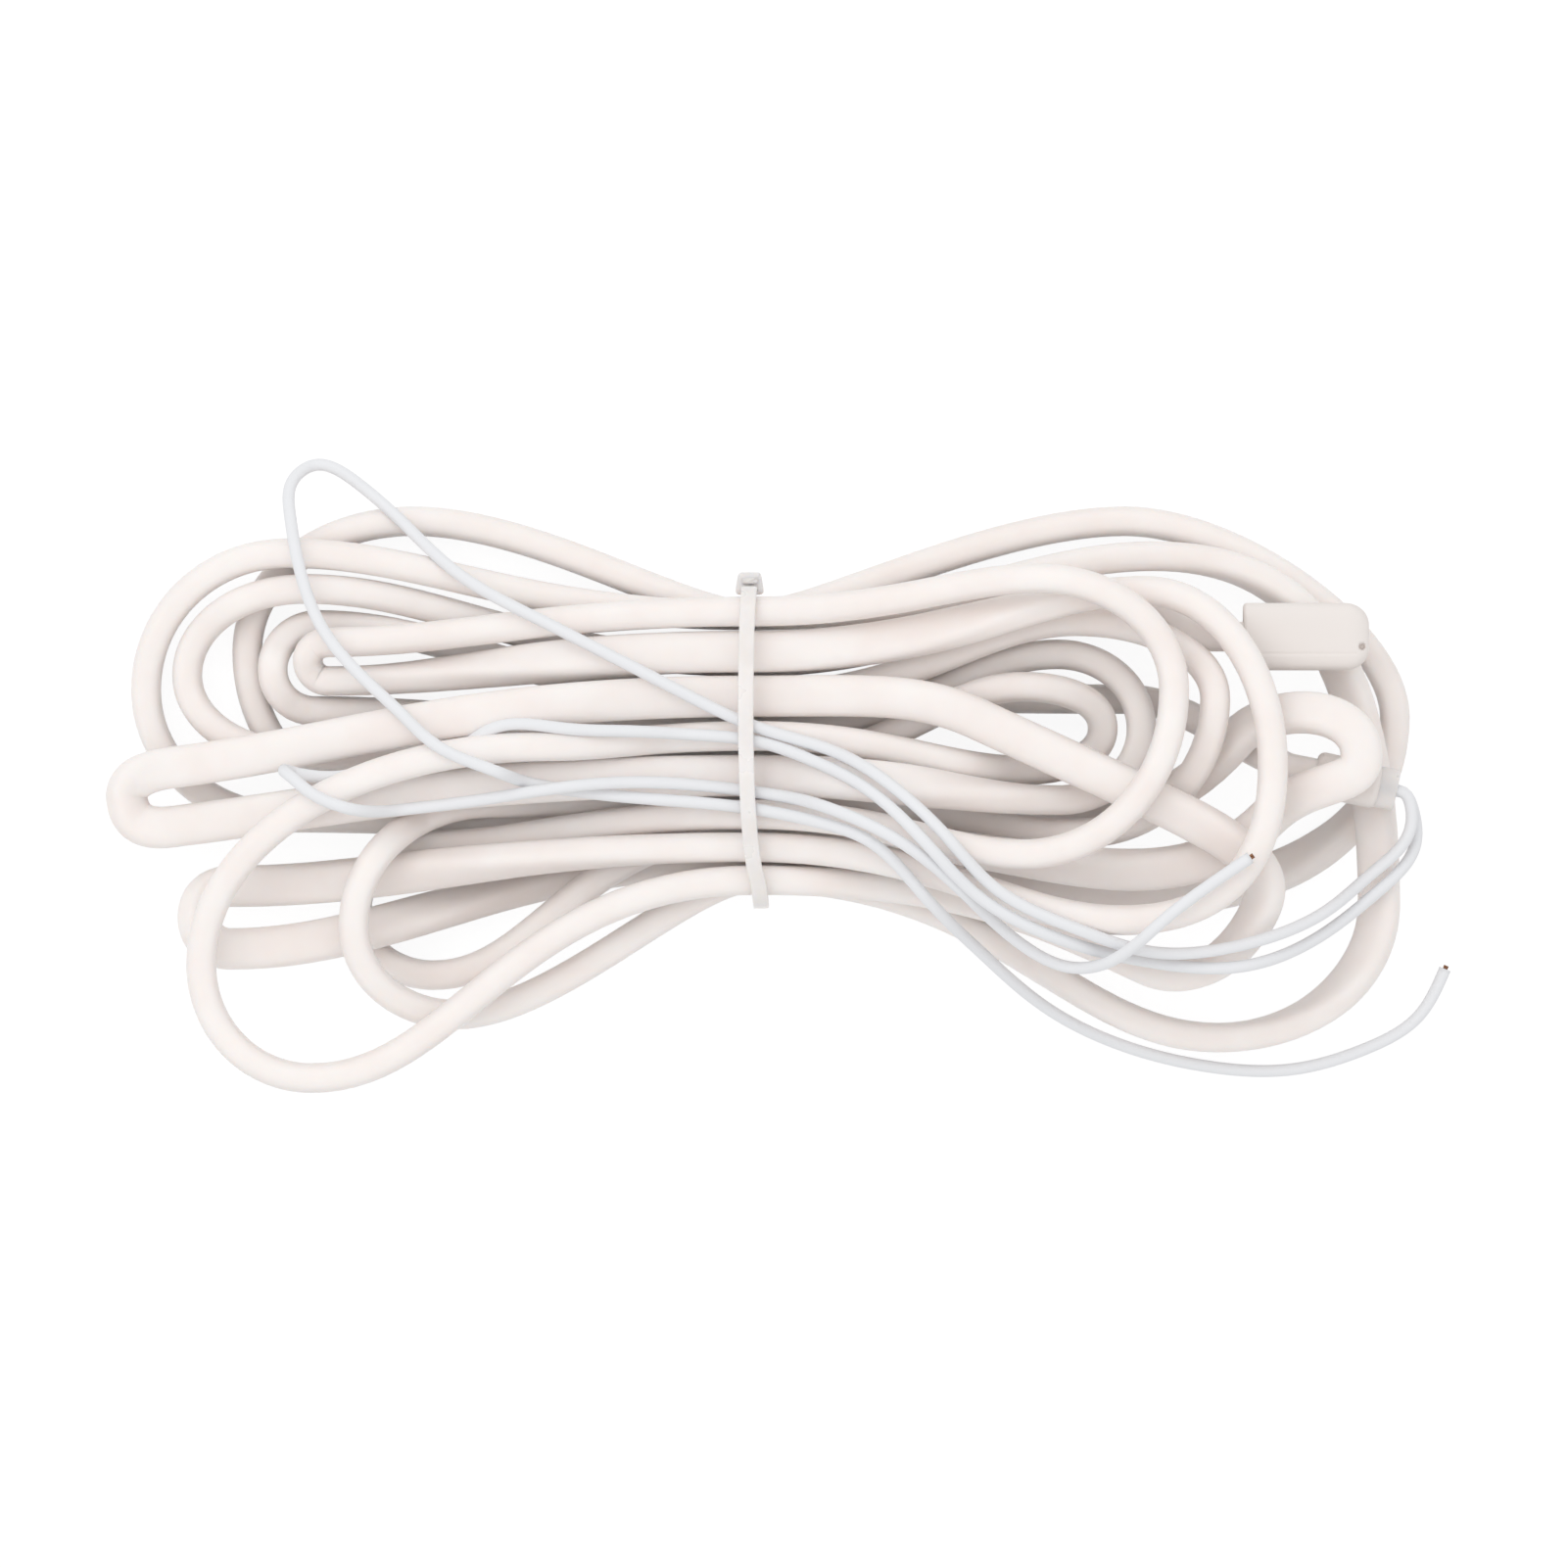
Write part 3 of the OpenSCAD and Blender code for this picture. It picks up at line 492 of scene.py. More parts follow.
L, R = -1, 1
P = Place
LOOPS = (
    # outer left, second
    Loop(L, False, P.M2, P.M5, (-75.5, 26.5), (-95.5, 12), (-75.5, -1.5), (0, 1.25, 0, 1.25, 1)),
    # innermost right
    Loop(R, False, P.M5, P.U4, (45, 10), (58.5, 3), (45, -4), (1.5, 2.75, 1.5, 1.25, 3.5),
         pulls=(0.5, 0.3, 0.5, 0.7, 0.7, 0.5, 0.3, 0.5)),
    # low front left, the longest drop
    Loop(L, False, P.U4, P.U8, (-34.5, 0), (-92.5, -36.5), (-74, -55.5), (2, 4, 2.5, 3, 2.75)),
    # flat band across the right
    Loop(R, True, P.U3, P.U8, (37.5, 4.5), (84.5, -27.5), (65.5, -37.5), (3, 3.5, 3.25, 1.75, 1.5),
         (1, 0.5, 0), (-25, -25, -25), (0.5, 0.3, 0.75, 1.2, 0.56, 0.56, 0.3, 0.5)),
    # long flat fold on the left
    Loop(L, False, P.U3, P.U5, (-97.5, -3.5), (-105.5, -9), (-98, -13.5),
         (3.5, 1.25, 0.75, 1, 3.25), (1, 0.6, 1), (7, 7, 7), (0.5, 0.3, 0.6, 0.75, 0.75, 0.6, 0.3, 0.5)),
    # second right
    Loop(R, True, P.M4, P.U5, (51, 15.5), (65, 3), (51, -9), (1.25, 1, 1.5, 2.25, 3.75)),
    # third left
    Loop(L, True, P.M3, P.M4, (-73.5, 20.5), (-81, 13), (-74, 6), (1.25, 0.25, 1, 0.5, 1)),
    # third right
    Loop(R, False, P.M3, P.M6, (54, 21), (77, 8), (55, -14.5), (1.75, 1.75, 3, 2, 0.75)),
    # low middle left
    Loop(L, False, P.M6, P.M8, (-44.5, -9.5), (-67, -30), (-50, -45),
         (0.75, 1.25, 3.25, 1.75, 0.75), pulls=(0.5, 0.3, 0.56, 0.56, 0.56, 0.56, 0.3, 0.2)),
    # largest right
    Loop(R, True, P.M1, P.M8, (67, 32), (105, -26.5), (78, -49), (1, 1, 1, 0.25, 1.25),
         (0, 0.8, 0), pulls=(0.5, 0.3, 0.58, 0.8, 0.56, 0.56, 0.3, 0.5)),
    # outermost left
    Loop(L, False, P.M1, P.D3, (-78.5, 32.5), (-102.5, 9.5), (-78.5, -12), (0.75, 1, 0, 0, 0)),
    # hooked fold over the splice
    Loop(R, False, P.D3, P.M7, (80.5, 1), (101.5, -1.5), (86, -12), (0, 2, 3.5, 2.5, 1.75),
         (0.5, 1, 1), (50, 0, 45), (0.4, 0.35, 0.8, 3.4, 0.56, 0.56, 0.3, 0.5)),
    # low inner left
    Loop(L, True, P.U6, P.M7, (-54, -16.5), (-67, -27.5), (-54, -38.5), (3, 1, 0, 0.25, 0.75)),
    # top right
    Loop(R, True, P.U1, P.U6, (47.5, 28), (70, 9.5), (45, -18), (2.5, 3.5, 4.25, 4.25, 3)),
    # top left hairpin
    Loop(L, False, P.U1, P.U2, (-71.5, 17.5), (-75, 14.5), (-71.5, 11), (2, 1.5, 1.25, 1, 2.5)),
    # tall right, over the seal's mouth
    Loop(R, False, P.U2, P.U7, (65.5, 26), (86.5, -3), (61.5, -29), (2.75, 2.5, 4.25, 4.25, 3.75),
         pulls=(0.5, 0.3, 0.56, 0.56, 0.6, 0.7, 0.3, 0.5)),
    # flat hairpin on the left
    Loop(L, False, P.U7, P.D4, (-88, -23.5), (-93.5, -28.5), (-88, -34),
         (2.5, 0.75, 1.25, 1.75, 0.25), (1, 0.5, 1)),
    # outermost right
    Loop(R, True, P.D1, P.D4, (62.5, 38), (108, 5), (67, -25), (0, 0, 0, 0, 0),
         (0, 0, 1), pulls=(0.15, 0.35, 0.42, 0.42, 0.66, 0.5, 0.3, 0.5)),
    # upper left, on the floor
    Loop(L, False, P.D1, P.D2, (-57.5, 38), (-85.5, 16), (-68, -6.5), (0, 0, 0, 0, 0),
         pulls=(0.2, 0.35, 0.56, 0.56, 0.56, 0.56, 0.3, 0.5)),
)


@dataclass(frozen=True)
class Mouth:
    """Where the cord goes into a moulded end: its mouth's middle, heading, grip and body."""

    at: tuple[float, float, float]
    heading: float
    grip: float
    length: float
    width: float
    height: float

    def along(self, x: float) -> np.ndarray:
        """Returns the plan point that far in from the mouth."""
        return np.array(self.at[:2]) + x * turned(np.array([1.0, 0.0]), self.heading)

    def placed(self, local: np.ndarray, drop: float = 0.5) -> np.ndarray:
        """Returns points of the piece's own frame, X inward from the mouth, in the part's frame.

        Args:
            local: Points, [..., 3].
            drop: How far the whole heap stands below the route's heights.
        """
        c, s = np.cos(np.radians(self.heading)), np.sin(np.radians(self.heading))
        x, y, z = local[..., 0], local[..., 1], local[..., 2]
        return np.stack([self.at[0] + c * x - s * y, self.at[1] + s * x + c * y,
                         self.at[2] - drop + z], axis=-1)


SEAL_MOUTH = Mouth((82, 18.4, 18.8), 0, 4, 21, 11.3, 8.4)
SPLICE_MOUTH = Mouth((94, -4.5, 18.5), -12, 4.9, 11, 7.6, 8.2)


@dataclass
class Route:
    """The cord's run: arcs in plan, with a height and a turn at each ring."""

    arcs: list[Arc]
    heights: np.ndarray
    turns: np.ndarray

    def plan(self, per_gap: int) -> np.ndarray:
        """Returns plan points, that many to a gap, and the run's last point."""
        last = self.arcs[-1]
        return np.concatenate([a.points(per_gap) for a in self.arcs] + [last.control[-1:]])


@dataclass
class HeatingCord:
    """The flat cord, 5 mm by 7 mm, and the hank that it lies in."""

    half_w: float = 2.5
    half_h: float = 3.5
    rest_cut: float = 0.5
    floor_z: float = 3.0
    layer: float = 7.5
    passes: int = 60
    up_gap: float = 1.0
    side_gap: float = 0.4
    per_gap: int = 10
    section_points: int = 32

    def height_of(self, layer: float | np.ndarray) -> np.ndarray:
        """Returns the route's height in a layer of the heap."""
        return self.floor_z + self.layer * np.asarray(layer, dtype=float)

    def loop_rings(self, loop: Loop) -> tuple[list[Arc], np.ndarray, np.ndarray]:
        """Works out a loop's four arcs, and the height and turn at its first twelve rings.

        Args:
            loop: The loop.

        Returns:
            Its arcs in the order of the run, the rings' heights and the rings' turns.
        """
        out = np.array([loop.side, 0.0])
        p0, p1 = np.array([0.0, loop.start.value[0]]), np.array([0.0, loop.stop.value[0]])
        a, t, b = (np.array(v, dtype=float)
                   for v in (loop.shoulder, loop.tip, loop.return_shoulder))
        ha = turned(out, loop.headings[0])
        ht = turned(np.array([0.0, -1.0]), loop.headings[1])
        hb = -turned(out, loop.headings[2])
        d0, d1, q = np.linalg.norm(a - p0), np.linalg.norm(b - p1), loop.pulls
        arcs = [Arc(np.array(c), 0, 1, 3) for c in (
            [p0, p0 + out * d0 * q[0], a - ha * d0 * q[1], a],
            [a, a + ha * abs((t - a) @ ha) * q[2], t - ht * abs((t - a) @ ht) * q[3], t],
            [t, t + ht * abs((b - t) @ ht) * q[4], b - hb * abs((b - t) @ hb) * q[5], b],
            [b, b + hb * d1 * q[6], p1 + out * d1 * q[7], p1])]
        z = self.height_of(loop.layers)
        thirds = eased(np.array([1 / 3, 2 / 3]))
        heights = np.concatenate([
            [loop.start.value[1], z[0], (z[0] + z[1]) / 2, z[1]], z[1] + (z[2] - z[1]) * thirds,
            [z[2]], z[2] + (z[3] - z[2]) * thirds, [z[3], (z[3] + z[4]) / 2, z[4],
                                                    loop.stop.value[1]]])
        knots = np.array([loop.start.value[2], *loop.turns, loop.stop.value[2]], dtype=float)
        i = np.arange(13)
        n = np.minimum(3, i // 3)
        turns = knots[n] + (knots[n + 1] - knots[n]) * eased(i / 3 - n)
        if loop.backwards:
            arcs, heights, turns = [v.backwards() for v in arcs[::-1]], heights[::-1], turns[::-1]
        return arcs, heights[:12], turns[:12]

    def route(self) -> Route:
        """Returns the whole run, from the grip of the seal to the grip of the splice."""
        x, y, z = SEAL_MOUTH.at
        shoulder, mouth = np.array([65.5, 26.0]), np.array([x - 5.5, y])
        waist = np.array([0.0, P.M2.value[0]])
        climb = Arc(np.array([shoulder, shoulder + (4, -1), mouth - (5, 0), mouth]), 0, 1, 3)
        lead = Arc(np.array([waist, waist + (26, 0), shoulder - (20, 0), shoulder]), 0, 1, 3)
        arcs = [straight(SEAL_MOUTH.along(4), SEAL_MOUTH.along(-1.5)),
                straight(SEAL_MOUTH.along(-1.5), mouth), climb.backwards(), lead.backwards()]
        heights = [np.array([z, z, z]), self.height_of([1.75, 1.25, 1, 0.5, 0])]
        turns = [np.zeros(8)]
        for loop in LOOPS:
            a, h, w = self.loop_rings(loop)
            arcs, heights, turns = arcs + a, heights + [h], turns + [w]
        z = SPLICE_MOUTH.at[2]
        waist, shoulder = np.array([0.0, P.D2.value[0]]), np.array([62.5, 8.0])
        turn_in = np.array([109.0, -7.5])
        final = Arc(np.array([shoulder, shoulder + (14.7, 0), turn_in - (24.5, 0), turn_in]),
                    0, 2 / 3, 2)
        left, entry = Arc(final.control, 2 / 3, 1, 1).points(1)[0], SPLICE_MOUTH.along(-1.5)
        heading = turned(np.array([1.0, 0.0]), SPLICE_MOUTH.heading)
        arcs += [Arc(np.array([waist, waist + (25, 0), shoulder - (19, 0), shoulder]), 0, 1, 3),
                 final, Arc(np.array([left, left + turned(heading, -8) * 1.1,
                                      entry - heading * 1.1, entry]), 0, 1, 1),
                 straight(entry, SPLICE_MOUTH.along(SPLICE_MOUTH.grip))]
        heights += [np.array([P.D2.value[1]]), self.height_of([0, 0, 0, 0.25]), np.full(3, z)]
        turns += [np.zeros(8)]
        return Route(arcs, np.concatenate(heights), np.concatenate(turns))

    def halves(self, turns: np.ndarray) -> tuple[np.ndarray, np.ndarray]:
        """Returns half the height and half the width that the six-sided section takes up."""
        s, c = np.abs(np.sin(np.radians(90 * turns))), np.abs(np.cos(np.radians(90 * turns)))
        w, h = self.half_w, self.half_h
        return np.maximum(w * s, 0.56 * w * s + h * c), np.maximum(w * c, 0.56 * w * c + h * s)

    def settled(self, route: Route) -> np.ndarray:
        """Lets the heap settle from its layers to heights at which its stretches clear.

        Wherever one stretch passes over, under or beside another, the two are pushed apart in
        height by what they lack, and between the passes each ring is drawn a little to the
        line between its neighbours. The rings in the tie and at the moulded ends lie still.

        Args:
            route: The run, with its layer heights.

        Returns:
            The height of each ring.
        """
        n = len(route.heights)
        body = [[SEAL_MOUTH.along(2), SEAL_MOUTH.along(SEAL_MOUTH.length - 1.5)],
                [SPLICE_MOUTH.along(0), SPLICE_MOUTH.along(SPLICE_MOUTH.length)]]
        xy = np.concatenate([route.plan(1), *body])
        z = np.concatenate([route.heights, [SEAL_MOUTH.at[2]] * 2, [SPLICE_MOUTH.at[2]] * 2])
        high, wide = self.halves(np.concatenate([route.turns, np.zeros(4)]))
        high[n:], wide[n:] = np.repeat([4.2, 4.1], 2), np.repeat([5.65, 3.8], 2)
        i, s, j, t, share = self.contacts(xy, wide, n)
        up = self.orders(z, i, s, j, t, share)
        need_i = (high[i] * (1 - s) + high[i + 1] * s) * share
        need_j = (high[j] * (1 - t) + high[j + 1] * t) * share
        run = np.linalg.norm(np.diff(xy, axis=0), axis=1)
        still = np.zeros(len(z), dtype=bool)
        still[[0, 1, 2, n - 3, n - 2, n - 1]] = True
        still[8:n - 7:12] = True
        still[n:] = True
        low = np.where(np.arange(len(z)) < n, high - self.rest_cut, -np.inf)
        weight_s, weight_t = (1 - s) ** 2 + s ** 2, (1 - t) ** 2 + t ** 2
        over, under = up > 0, up < 0
        for done in range(self.passes):
            soft = 0.06 if self.passes - done > self.passes / 2 else 0.009
            mean = z.copy()
            mean[1:-1] = (z[:-2] * run[1:] + z[2:] * run[:-1]) / (run[1:] + run[:-1])
            z = np.where(still, z, np.maximum(low, z + (mean - z) * soft))
            lean = np.sqrt(1 + (np.diff(z) / run) ** 2)
            lean = np.where(np.arange(len(lean)) < n - 1, lean, 1)
            apart = (z[i] * (1 - s) + z[i + 1] * s) - (z[j] * (1 - t) + z[j + 1] * t)
            lack = np.maximum(0, need_i * lean[i] + need_j * lean[j]
                              + self.up_gap * share - up * apart)
            rise, sink = np.zeros(len(z)), np.zeros(len(z))
            for ring, part in ((i, (1 - s) / weight_s), (i + 1, s / weight_s)):
                np.maximum.at(rise, ring[over], (lack * part)[over])
                np.maximum.at(sink, ring[under], (lack * part)[under])
            for ring, part in ((j, (1 - t) / weight_t), (j + 1, t / weight_t)):
                np.maximum.at(sink, ring[over], (lack * part)[over])
                np.maximum.at(rise, ring[under], (lack * part)[under])
            z = np.where(still, z, np.maximum(low, z + 0.6 * (rise - sink)))
        return z[:n]

    def contacts(self, xy: np.ndarray, wide: np.ndarray, n: int) -> tuple[np.ndarray, ...]:
        """Finds where stretches pass each other in plan.

        Each stretch is tried at its start and at one and two thirds, against the nearest point
        of every stretch that isn't its own neighbour along the cord.

        Args:
            xy: Plan points of the rings, and of the moulded ends' two stretches.
            wide: Half widths there.
            n: Rings of the cord itself.

        Returns:
            Stretch, place on it, other stretch, place on that, and the share of the full height
            that their rounded backs need at that distance.
        """
        along = run_lengths(xy)
        real = np.array([k for k in range(len(xy) - 1) if k not in (n - 1, n + 1)])
        i, j = (v.ravel() for v in np.meshgrid(real, real, indexing="ij"))
        a, b = np.minimum(i, j), np.maximum(i, j)
        clear = (b - a >= 3) & (along[b] - along[a + 1] > 9) & (a < n)
        clear &= ~((b == n) & (a < 5)) & ~((b == n + 2) & (a >= n - 4))
        i, j = i[clear], j[clear]
        found = []
        for s in (0, 1 / 3, 2 / 3):
            point = xy[i] * (1 - s) + xy[i + 1] * s
            leg = xy[j + 1] - xy[j]
            t = np.clip(((point - xy[j]) * leg).sum(1) / (leg * leg).sum(1), 0, 1)
            reach = (wide[i] * (1 - s) + wide[i + 1] * s + wide[j] * (1 - t) + wide[j + 1] * t
                     + self.side_gap)
            far = np.linalg.norm(point - xy[j] - leg * t[:, None], axis=1)
            near = (far < reach) & (np.linalg.norm(point - xy[j], axis=1) < 40)
            share = (1 - (far[near] / reach[near]) ** 2.8) ** (1 / 2.8)
            found.append((i[near], np.full(near.sum(), s), j[near], t[near], share))
        return tuple(np.concatenate(v) for v in zip(*found))

    @staticmethod
    def orders(z: np.ndarray, i: np.ndarray, s: np.ndarray, j: np.ndarray, t: np.ndarray,
               share: np.ndarray) -> np.ndarray:
        """Returns 1 where the first stretch lies over the second and -1 where under.

        The answer is the sign of their difference in layers, summed over the stretches within
        two of each, so that two runs keep their order from one contact to the next.

        Args:
            z: Layer heights of the rings.
            i: First stretch of each contact.
            s: Place on it.
            j: Other stretch.
            t: Place on that.
            share: Share of the full height needed there.

        Returns:
            1 or -1 for each contact.
        """
        n = len(z)
        rise = (z[i] * (1 - s) + z[i + 1] * s - z[j] * (1 - t) - z[j + 1] * t) * share
        table = np.zeros((n + 4, n + 4))
        np.add.at(table, (i + 2, j + 2), rise)
        np.add.at(table, (j + 2, i + 2), -rise)
        summed = sum(np.roll(table, (a, b), (0, 1)) for a in range(-2, 3) for b in range(-2, 3))
        return np.where(summed[i + 2, j + 2] > 0, 1, -1)

    def centreline(self) -> tuple[np.ndarray, np.ndarray]:
        """Returns the settled centreline, finely read, and the section's turn along it."""
        route = self.route()
        rings = np.arange(len(route.heights)) * self.per_gap
        plan = route.plan(self.per_gap)
        along = run_lengths(plan)
        z = without_overshoot(along[rings], self.settled(route), along) - self.rest_cut
        turn = without_overshoot(along[rings], route.turns, along)
        return np.column_stack([plan, z]), turn

    def build(self, seal: bpy.types.Object) -> bpy.types.Object:
        """Makes the cord: a rounded section carried along the centreline, flat where it rests.

        Args:
            seal: The moulded end at the cord's far end. Not used.

        Returns:
            The cord's piece.
        """
        path, turn = self.centreline()
        outline = soft_outline(self.half_w, self.half_h, 2.9, self.section_points)
        rings = carried(outline, path, turn)
        rings[..., 2] = np.maximum(rings[..., 2], 0)
        piece = Shell.lofted(rings).put_down("silicone_cord", EXTRUDED_SILICONE, ("heater_cord",))
        return piece


# ---------------------------------------------------------------- moulded ends

@dataclass
class EndSeal:
    """The moulded seal: a blunt block with a soft nose, a vent hole and a faint parting line."""

    mouth: Mouth = SEAL_MOUTH
    nose: float = 4.0
    lip: float = 0.6
    clearance: float = 0.15
    vent: tuple[float, float] = (19.8, -1.7)
    vent_r: float = 0.55

    def build(self) -> bpy.types.Object:
        """Makes the body from the bottom of the cord's pocket, over the lip and to the nose."""
        m, count = self.mouth, 220
        quarter = np.linspace(0, np.pi / 2, 40)
        x = np.concatenate([np.linspace(self.lip, m.length - self.nose, 40)[:-1],
                            m.length - self.nose * (1 - np.sin(quarter))])
        # the nose draws in as a quarter circle does, and more in height than in width
        inset = np.clip((x - (m.length - self.nose)) / self.nose, 0, 0.999)
        curve = 1 - np.sqrt(1 - inset ** 2)
        half_w = m.width / 2 - self.nose * 0.9 * curve
        half_h = m.height / 2 - 2.2 * curve
        turn = np.linspace(0, np.pi / 2, 6)[:-1]
        x = np.concatenate([self.lip * (1 - np.cos(turn)), x])
        draw = self.lip * (1 - np.sin(turn))
        half_w = np.concatenate([m.width / 2 - draw, half_w])
        half_h = np.concatenate([m.height / 2 - draw, half_h])
        body = np.stack([self.ring(a, w, h, count) for a, w, h in zip(x, half_w, half_h)])
        pocket = soft_outline(2.5 + self.clearance, 3.5 + self.clearance, 2.5, count)
        inside = np.stack([np.column_stack([np.full(count, a), pocket])
                           for a in (m.grip, m.grip / 2, 0.0)])
        rings = np.concatenate([inside, body])
        return Shell.lofted(m.placed(self.dented(rings))).put_down(
            "end_seal_moulding", MOULDED_SILICONE, ("end_seal",))

    def ring(self, x: float, half_w: float, half_h: float, count: int) -> np.ndarray:
        """Returns one ring of the body, a full superellipse across the run."""
        return np.column_stack([np.full(count, x), soft_outline(half_w, half_h, 4.2, count)])

    def dented(self, rings: np.ndarray) -> np.ndarray:
        """Sinks the vent hole and the parting line: each lowers the top by a smooth step."""
        x, y, z = rings[..., 0], rings[..., 1], rings[..., 2]
        top = z > 2.2
        hole = np.hypot(x - self.vent[0], y - self.vent[1]) / self.vent_r
        sink = 1.6 * (1 - eased(np.clip((hole - 0.7) / 0.5, 0, 1)))
        line = 0.12 * (1 - eased(np.clip(np.abs(y + 2.9) / 0.35, 0, 1))) * (x > 1) * (x < 19)
        out = rings.copy()
        out[..., 2] = np.where(top, z - sink - line, z)
        return out


@dataclass
class Splice:
    """The moulded splice and the clear sleeve that the leads come out of."""

    mouth: Mouth = SPLICE_MOUTH
    lip: float = 1.2
    clearance: float = 0.15
    sleeve: float = 3.0
    lead_z: float = 1.325
    lead_r: float = 1.025

    def build(self) -> bpy.types.Object:
        """Makes the cover: a pocket for the cord, a rounded block and a stepped far end."""
        m, count = self.mouth, 120
        arc = np.linspace(0, np.pi / 2, 8)
        set_back = self.lip * (1 - np.cos(arc))
        x = np.concatenate([set_back, m.length - set_back[::-1]])
        draw = self.lip * (1 - np.sin(np.concatenate([arc, arc[::-1]])))
        body = np.stack([np.column_stack([np.full(count, a), soft_outline(
            m.width / 2 - d, m.height / 2 - d, 3.6, count)]) for a, d in zip(x, draw)])
        pocket = soft_outline(2.5 + self.clearance, 3.5 + self.clearance, 2.5, count)
        room = (m.width / 2 - self.lip, m.height / 2 - self.lip * 0.4)
        pocket = np.minimum(np.abs(pocket), room) * np.sign(pocket)
        inside = np.stack([np.column_stack([np.full(count, a), pocket])
                           for a in (m.grip, 0.5, 0.0)])
        return Shell.lofted(m.placed(np.concatenate([inside, body]))).put_down(
            "splice_moulding", MOULDED_SILICONE, ("splice_cover",))

    def build_sleeve(self) -> bpy.types.Object:
        """Makes the sleeve: a flat tube, its outer wall, rim and inner wall as one loft."""
        m, count = self.mouth, 72
        outer = soft_outline(m.width / 2 - 0.3, self.lead_z + self.lead_r + 0.5, 3.4, count)
        inner = soft_outline(self.lead_r + 0.55, self.lead_z + self.lead_r + 0.1, 3.4, count)
        far = m.length + self.sleeve
        steps = ((m.length - 0.9, inner), (m.length - 0.9, outer), (m.length, outer),
                 (far - 0.25, outer), (far, outer * 0.95), (far, inner * 1.02), (far - 0.3, inner),
                 (m.length - 0.6, inner))
        rings = np.stack([np.column_stack([np.full(count, a), o]) for a, o in steps])
        return Shell.lofted(m.placed(rings)).put_down(
            "clear_sleeve", CLEAR_SILICONE, ("splice_sleeve",))


# ---------------------------------------------------------------- leads

LEAD_1 = (
    (110, -9.8, 19.2), (109.3, -15.5, 18.6), (104.5, -20.5, 18), (95, -28, 25), (82, -33, 31),
    (68, -34.5, 32.5), (54, -30.5, 37.5), (40, -23.5, 38.5), (32, -15, 41.5), (21.5, -5.5, 38),
    (11, 0, 29.5), (0, 3.4, 25.5), (-12, 9, 26), (-37.5, 22, 23.5), (-49, 28.5, 17),
    (-67, 44.5, 5), (-73.5, 47.5, 5), (-77.5, 45, 8), (-78, 39, 13), (-76.5, 31, 18),
    (-73, 21, 20), (-59, 5.5, 28), (-51, -1, 34.5), (-43.5, -4, 34.5), (-38, -6, 27.5),
    (-26, -8, 25.5), (-2, -10.2, 25.5), (3, -11, 27.5), (12, -13, 33.5), (19.5, -16, 37),
    (28, -24.5, 34.5), (38, -34.5, 23), (50, -44.5, 12), (64, -51, 6), (77, -54, 3),
    (90, -54.5, 2), (103, -51, 1.5), (112, -45.5, 1.5), (116.5, -37.5, 1.5))
LEAD_2 = (
    (110.5, -10.5, 16.2), (110.8, -17, 15.4), (105, -24, 17), (93.5, -32.5, 23), (79, -37, 30),
    (66, -36, 28), (52, -32.5, 35.5), (38, -25.5, 38.5), (28.5, -16, 42), (20, -8, 38),
    (10, -2.5, 30), (0, 0.9, 25.5), (-11, 2, 25.6), (-20, 2.5, 28.2), (-32, 3, 30),
    (-43.5, 3, 29.5), (-47, 1, 27.5), (-48.5, 0, 23.5), (-63, -3.5, 23.5), (-69, -5, 24.5),
    (-76.5, -4.5, 25), (-78.5, -4, 28), (-77, -5.3, 32), (-73.5, -8, 34.5), (-69, -10, 34.5),
    (-58, -10.5, 27), (-46, -9, 29), (-33, -7, 29.5), (-20, -6, 27), (-3, -7.2, 24.6),
    (4, -8.2, 27), (13, -10.5, 36), (24.5, -16, 40.5), (34, -23.5, 37.5), (42, -31, 31),
    (51, -36.5, 30), (60, -35.5, 36.5), (68, -29, 42.5), (82.5, -18.5, 42.5))


